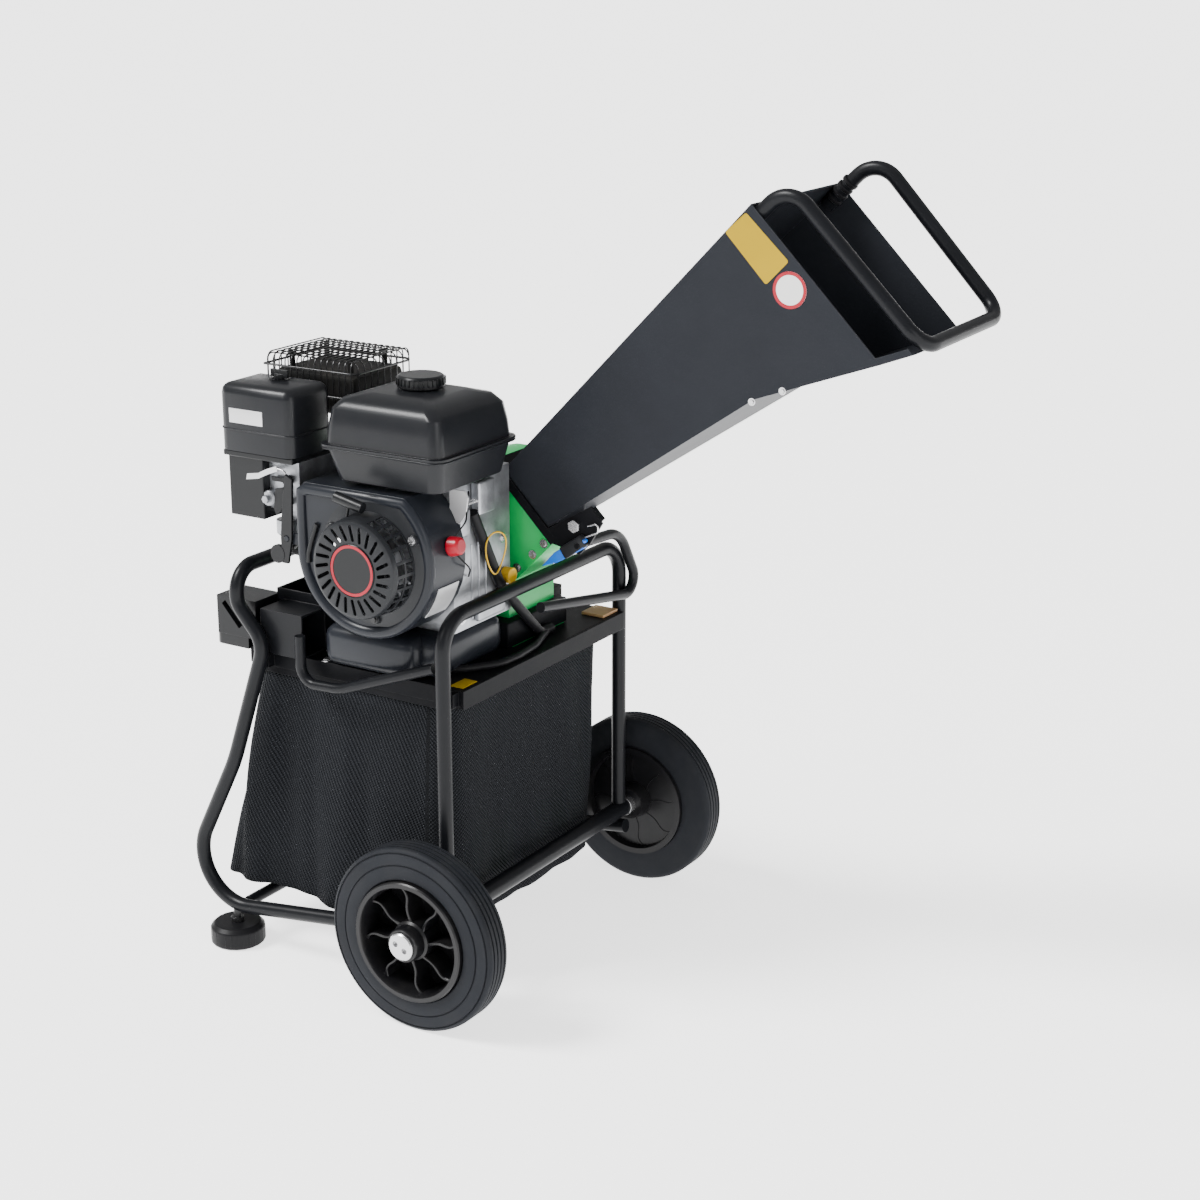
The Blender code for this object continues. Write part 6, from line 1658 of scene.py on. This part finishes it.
@dataclass
class Hopper:
    """The flared feed hopper with its handle, flap, patches and clamp lever."""

    face_y: float = HOPPER_NEAR_Y
    patch: tuple[Flat, ...] = ((0.2780, 1.0125), (0.3060, 1.0380), (0.3650, 0.9840), (0.3350, 0.9535))
    round_patch: Flat = (0.3670, 0.9500)
    round_r: float = 0.0225
    ring_width: float = 0.0042
    bare_below: float = 0.86
    bare_from: float = -0.05
    handle_tube: float = 0.00944
    handle_far_y: float = 0.5223
    handle_bends: tuple[float, ...] = (0.0357, 0.030, 0.0304, 0.0357)
    screws: tuple[Flat, ...] = ((0.319, 0.8085), (0.3605, 0.8265))

    def faces_down(self, normal: Vector, middle: Vector) -> bool:
        """Whether a face is on the hopper's bare underside."""
        low = middle.z < self.bare_below and middle.x > self.bare_from
        return low and normal.dot(Vector((DIAGONAL, 0, -DIAGONAL))) > 0.9

    def patches(self) -> None:
        """Two plain patches on the near side, one with four corners and one round with a ring."""
        corners = [Vector((x, 0, z)) for x, z in self.patch]
        outline = [(p.x, p.z) for p in bent(corners, 0.003, 4, True)]
        plain = prism("plain_patch", outline, self.face_y - 0.0004, self.face_y - 0.0001)
        settle(plain, PATCH_YELLOW, "hopper")
        place = (self.round_patch[0], self.face_y, self.round_patch[1])
        for name, inner, near, far, finish in (
            ("round_patch", 0, -0.0001, -0.0004, PATCH_WHITE),
            ("round_patch_ring", self.round_r - self.ring_width, -0.0004, -0.0006, KNOB_RED),
        ):
            settle(lathe(name, oblong(inner, self.round_r, near, far), place, 48), finish, "hopper")

    def handle(self) -> None:
        """The bent tube round the mouth, with smooth bends."""
        corners = [(0.585, 0.3118, -0.0170), (0.660, 0.3118, -0.0170), (0.662, 0.3118, 0.2371),
                   (0.671, 0.5292, 0.2371), (0.679, 0.5292, -0.0170), (0.585, self.handle_far_y, -0.0170)]
        path = bent([at_feed(u, w, y) for u, y, w in corners], self.handle_bends, 24)
        RULES.wires("hopper_handle_smooth", [path], self.handle_tube, POWDER_BLACK, 28,
                    body="hopper", stands_for=["hopper_handle"])

    def build(self) -> None:
        """Makes and dresses the hopper."""
        refined("hopper_shell", HOPPER_SLATE, 0.0005, [HOPPER_UNDERSIDE], self.faces_down)
        self.handle()
        refined("hopper_flap", HOSE_RUBBER, 0.0006)
        refined("hopper_flange", DECK_BLACK, 0.0007)
        refined("hinge_bolt", ZINC_STEEL, 0.0005)
        refined("clamp_lever", LEVER_BLUE, 0.0016, segments=3)
        self.patches()
        places = [(x, self.face_y, z) for x, z in self.screws]
        RULES.screws("hopper_screws", places, TOWARDS_NEAR, ZINC_STEEL, (0.0032, 0.0022, 0.0048), "hopper")
        bail = bent([(0.0770, 0.2935, 0.6000), (0.1020, 0.2930, 0.6120), (0.1020, 0.2930, 0.6240),
                     (0.0860, 0.2935, 0.6180)], 0.004)
        RULES.wires("clamp_bail", [bail], 0.0012, ZINC_STEEL, 8)
        low, high = drawn_box("clamp_lever")
        run = Vector((high.x - low.x, 0, high.z - low.z))
        sleeve = block("lever_sleeve", (-0.020, -0.0052, -0.0085), (0.020, 0.0052, 0.0085), 0.0025)
        sleeve.data.transform(Matrix.Rotation(-atan2(run.z, run.x), 4, "Y"))
        middle = low + run * 0.72
        settle(shifted(sleeve, (middle.x, (low.y + high.y) / 2, middle.z)), STARTER_GREY,
               BODY_OF["clamp_lever"])
        grips = []
        profile = [(0.0098, -0.0028), (0.0112, -0.0020), (0.0112, 0.0020), (0.0098, 0.0028)]
        for i in range(4):
            ring = lathe("grip", profile, (0, 0, 0), 28, True)
            place = Matrix.Translation(at_feed(0.600 + 0.010 * i, -0.0170, 0.5235))
            ring.data.transform(place @ Matrix.Rotation(radians(45), 4, "Y"))
            grips.append(ring)
        settle(joined("handle_clamp_rings", grips), HOSE_RUBBER, "hopper")


@dataclass
class Studio:
    """Camera, floor and soft lights."""

    place: Point = (1.5933, -2.1109, 1.4093)
    azimuth: float = radians(31.759)
    elevation: float = radians(17.436)
    lens: float = 68.142
    floor_half: float = 60.0
    floor_edge: float = 4.0
    sun_power: float = 4.4
    sun_spread: float = radians(20)
    sun_aim: Point = (0.52, 0.42, -0.80)
    air_power: float = 0.55
    floor_glow: float = 1.9
    lamps: tuple[tuple[str, Point, float, float], ...] = (
        ("key_light", (-1.6, -2.6, 2.9), 1.4, 38), ("fill_light", (2.8, -1.4, 1.8), 1.6, 26),
    )

    def camera(self) -> None:
        """The camera at the photograph's place and angle."""
        data = bpy.data.cameras.new("photo_camera")
        data.sensor_width = 36
        data.lens = self.lens
        data.clip_end = 60
        made = linked("photo_camera", data)
        flat = cos(self.elevation)
        ahead = Vector((-flat * sin(self.azimuth), flat * cos(self.azimuth), -sin(self.elevation)))
        made.location = Vector(self.place) + ORIGIN
        made.rotation_euler = ahead.to_track_quat("-Z", "Y").to_euler()
        bpy.context.scene.camera = made

    def floor(self) -> None:
        """A wide pale floor with a low upright edge, so that no view looks past it."""
        half = self.floor_half
        ring = [(-half, -half), (half, -half), (half, half), (-half, half)]
        mesh = bpy.data.meshes.new("floor")
        mesh.from_pydata([(x, y, z) for z in (0, self.floor_edge) for x, y in ring], [],
                         [(0, 1, 2, 3)] + [((k + 1) % 4, k, k + 4, (k + 1) % 4 + 4) for k in range(4)])
        made = linked("floor", mesh)
        pale = bpy.data.materials.new("pale_floor")
        pale.use_nodes = True
        inputs = pale.node_tree.nodes["Principled BSDF"].inputs
        for name, value in (("Base Color", (0.93, 0.93, 0.925, 1)), ("Roughness", 0.9),
                            ("Specular IOR Level", 0.1), ("Emission Color", (1, 1, 1, 1)),
                            ("Emission Strength", self.floor_glow)):
            inputs[name].default_value = value
        mesh.materials.append(pale)

    def light(self, name: str, place: Point, size: float, power: float) -> None:
        """A square soft light that looks at the machine.

        Args:
            name: the lamp's name.
            place: where it stands.
            size: its side.
            power: its power in watts.
        """
        data = bpy.data.lights.new(name, "AREA")
        data.size = size
        data.energy = power
        made = linked(name, data)
        made.location = place
        made.rotation_euler = (Vector((0, 0, 0.5)) - Vector(place)).to_track_quat("-Z", "Y").to_euler()

    def build(self) -> None:
        """Sets the stage."""
        self.camera()
        self.floor()
        for lamp in self.lamps:
            self.light(*lamp)
        sun = bpy.data.lights.new("soft_sun", "SUN")
        sun.energy = self.sun_power
        sun.angle = self.sun_spread
        shining = linked("soft_sun", sun)
        shining.rotation_euler = Vector(self.sun_aim).to_track_quat("-Z", "Y").to_euler()
        world = bpy.data.worlds.new("studio_air")
        world.use_nodes = True
        air = world.node_tree.nodes["Background"]
        air.inputs["Color"].default_value = (1, 1, 1, 1)
        air.inputs["Strength"].default_value = self.air_power
        bpy.context.scene.world = world


def main() -> None:
    """Builds every sub-assembly in order."""
    global RULES
    logging.basicConfig(level=logging.INFO, format="%(message)s")
    EFFECTS.build()
    RULES = Rules()
    far_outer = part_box("far_tyre")[1].y - ORIGIN.y
    for unit in (
        Studio(), Wheel("near", 0.0, 1.0), Wheel("far", far_outer, -1.0), TubeFrame(), Deck(), Bag(),
        Starter(), Engine(), CuttingUnit(), Hopper(),
    ):
        unit.build()
        log.info("%s is done", type(unit).__name__)


if __name__ == "__main__":
    main()
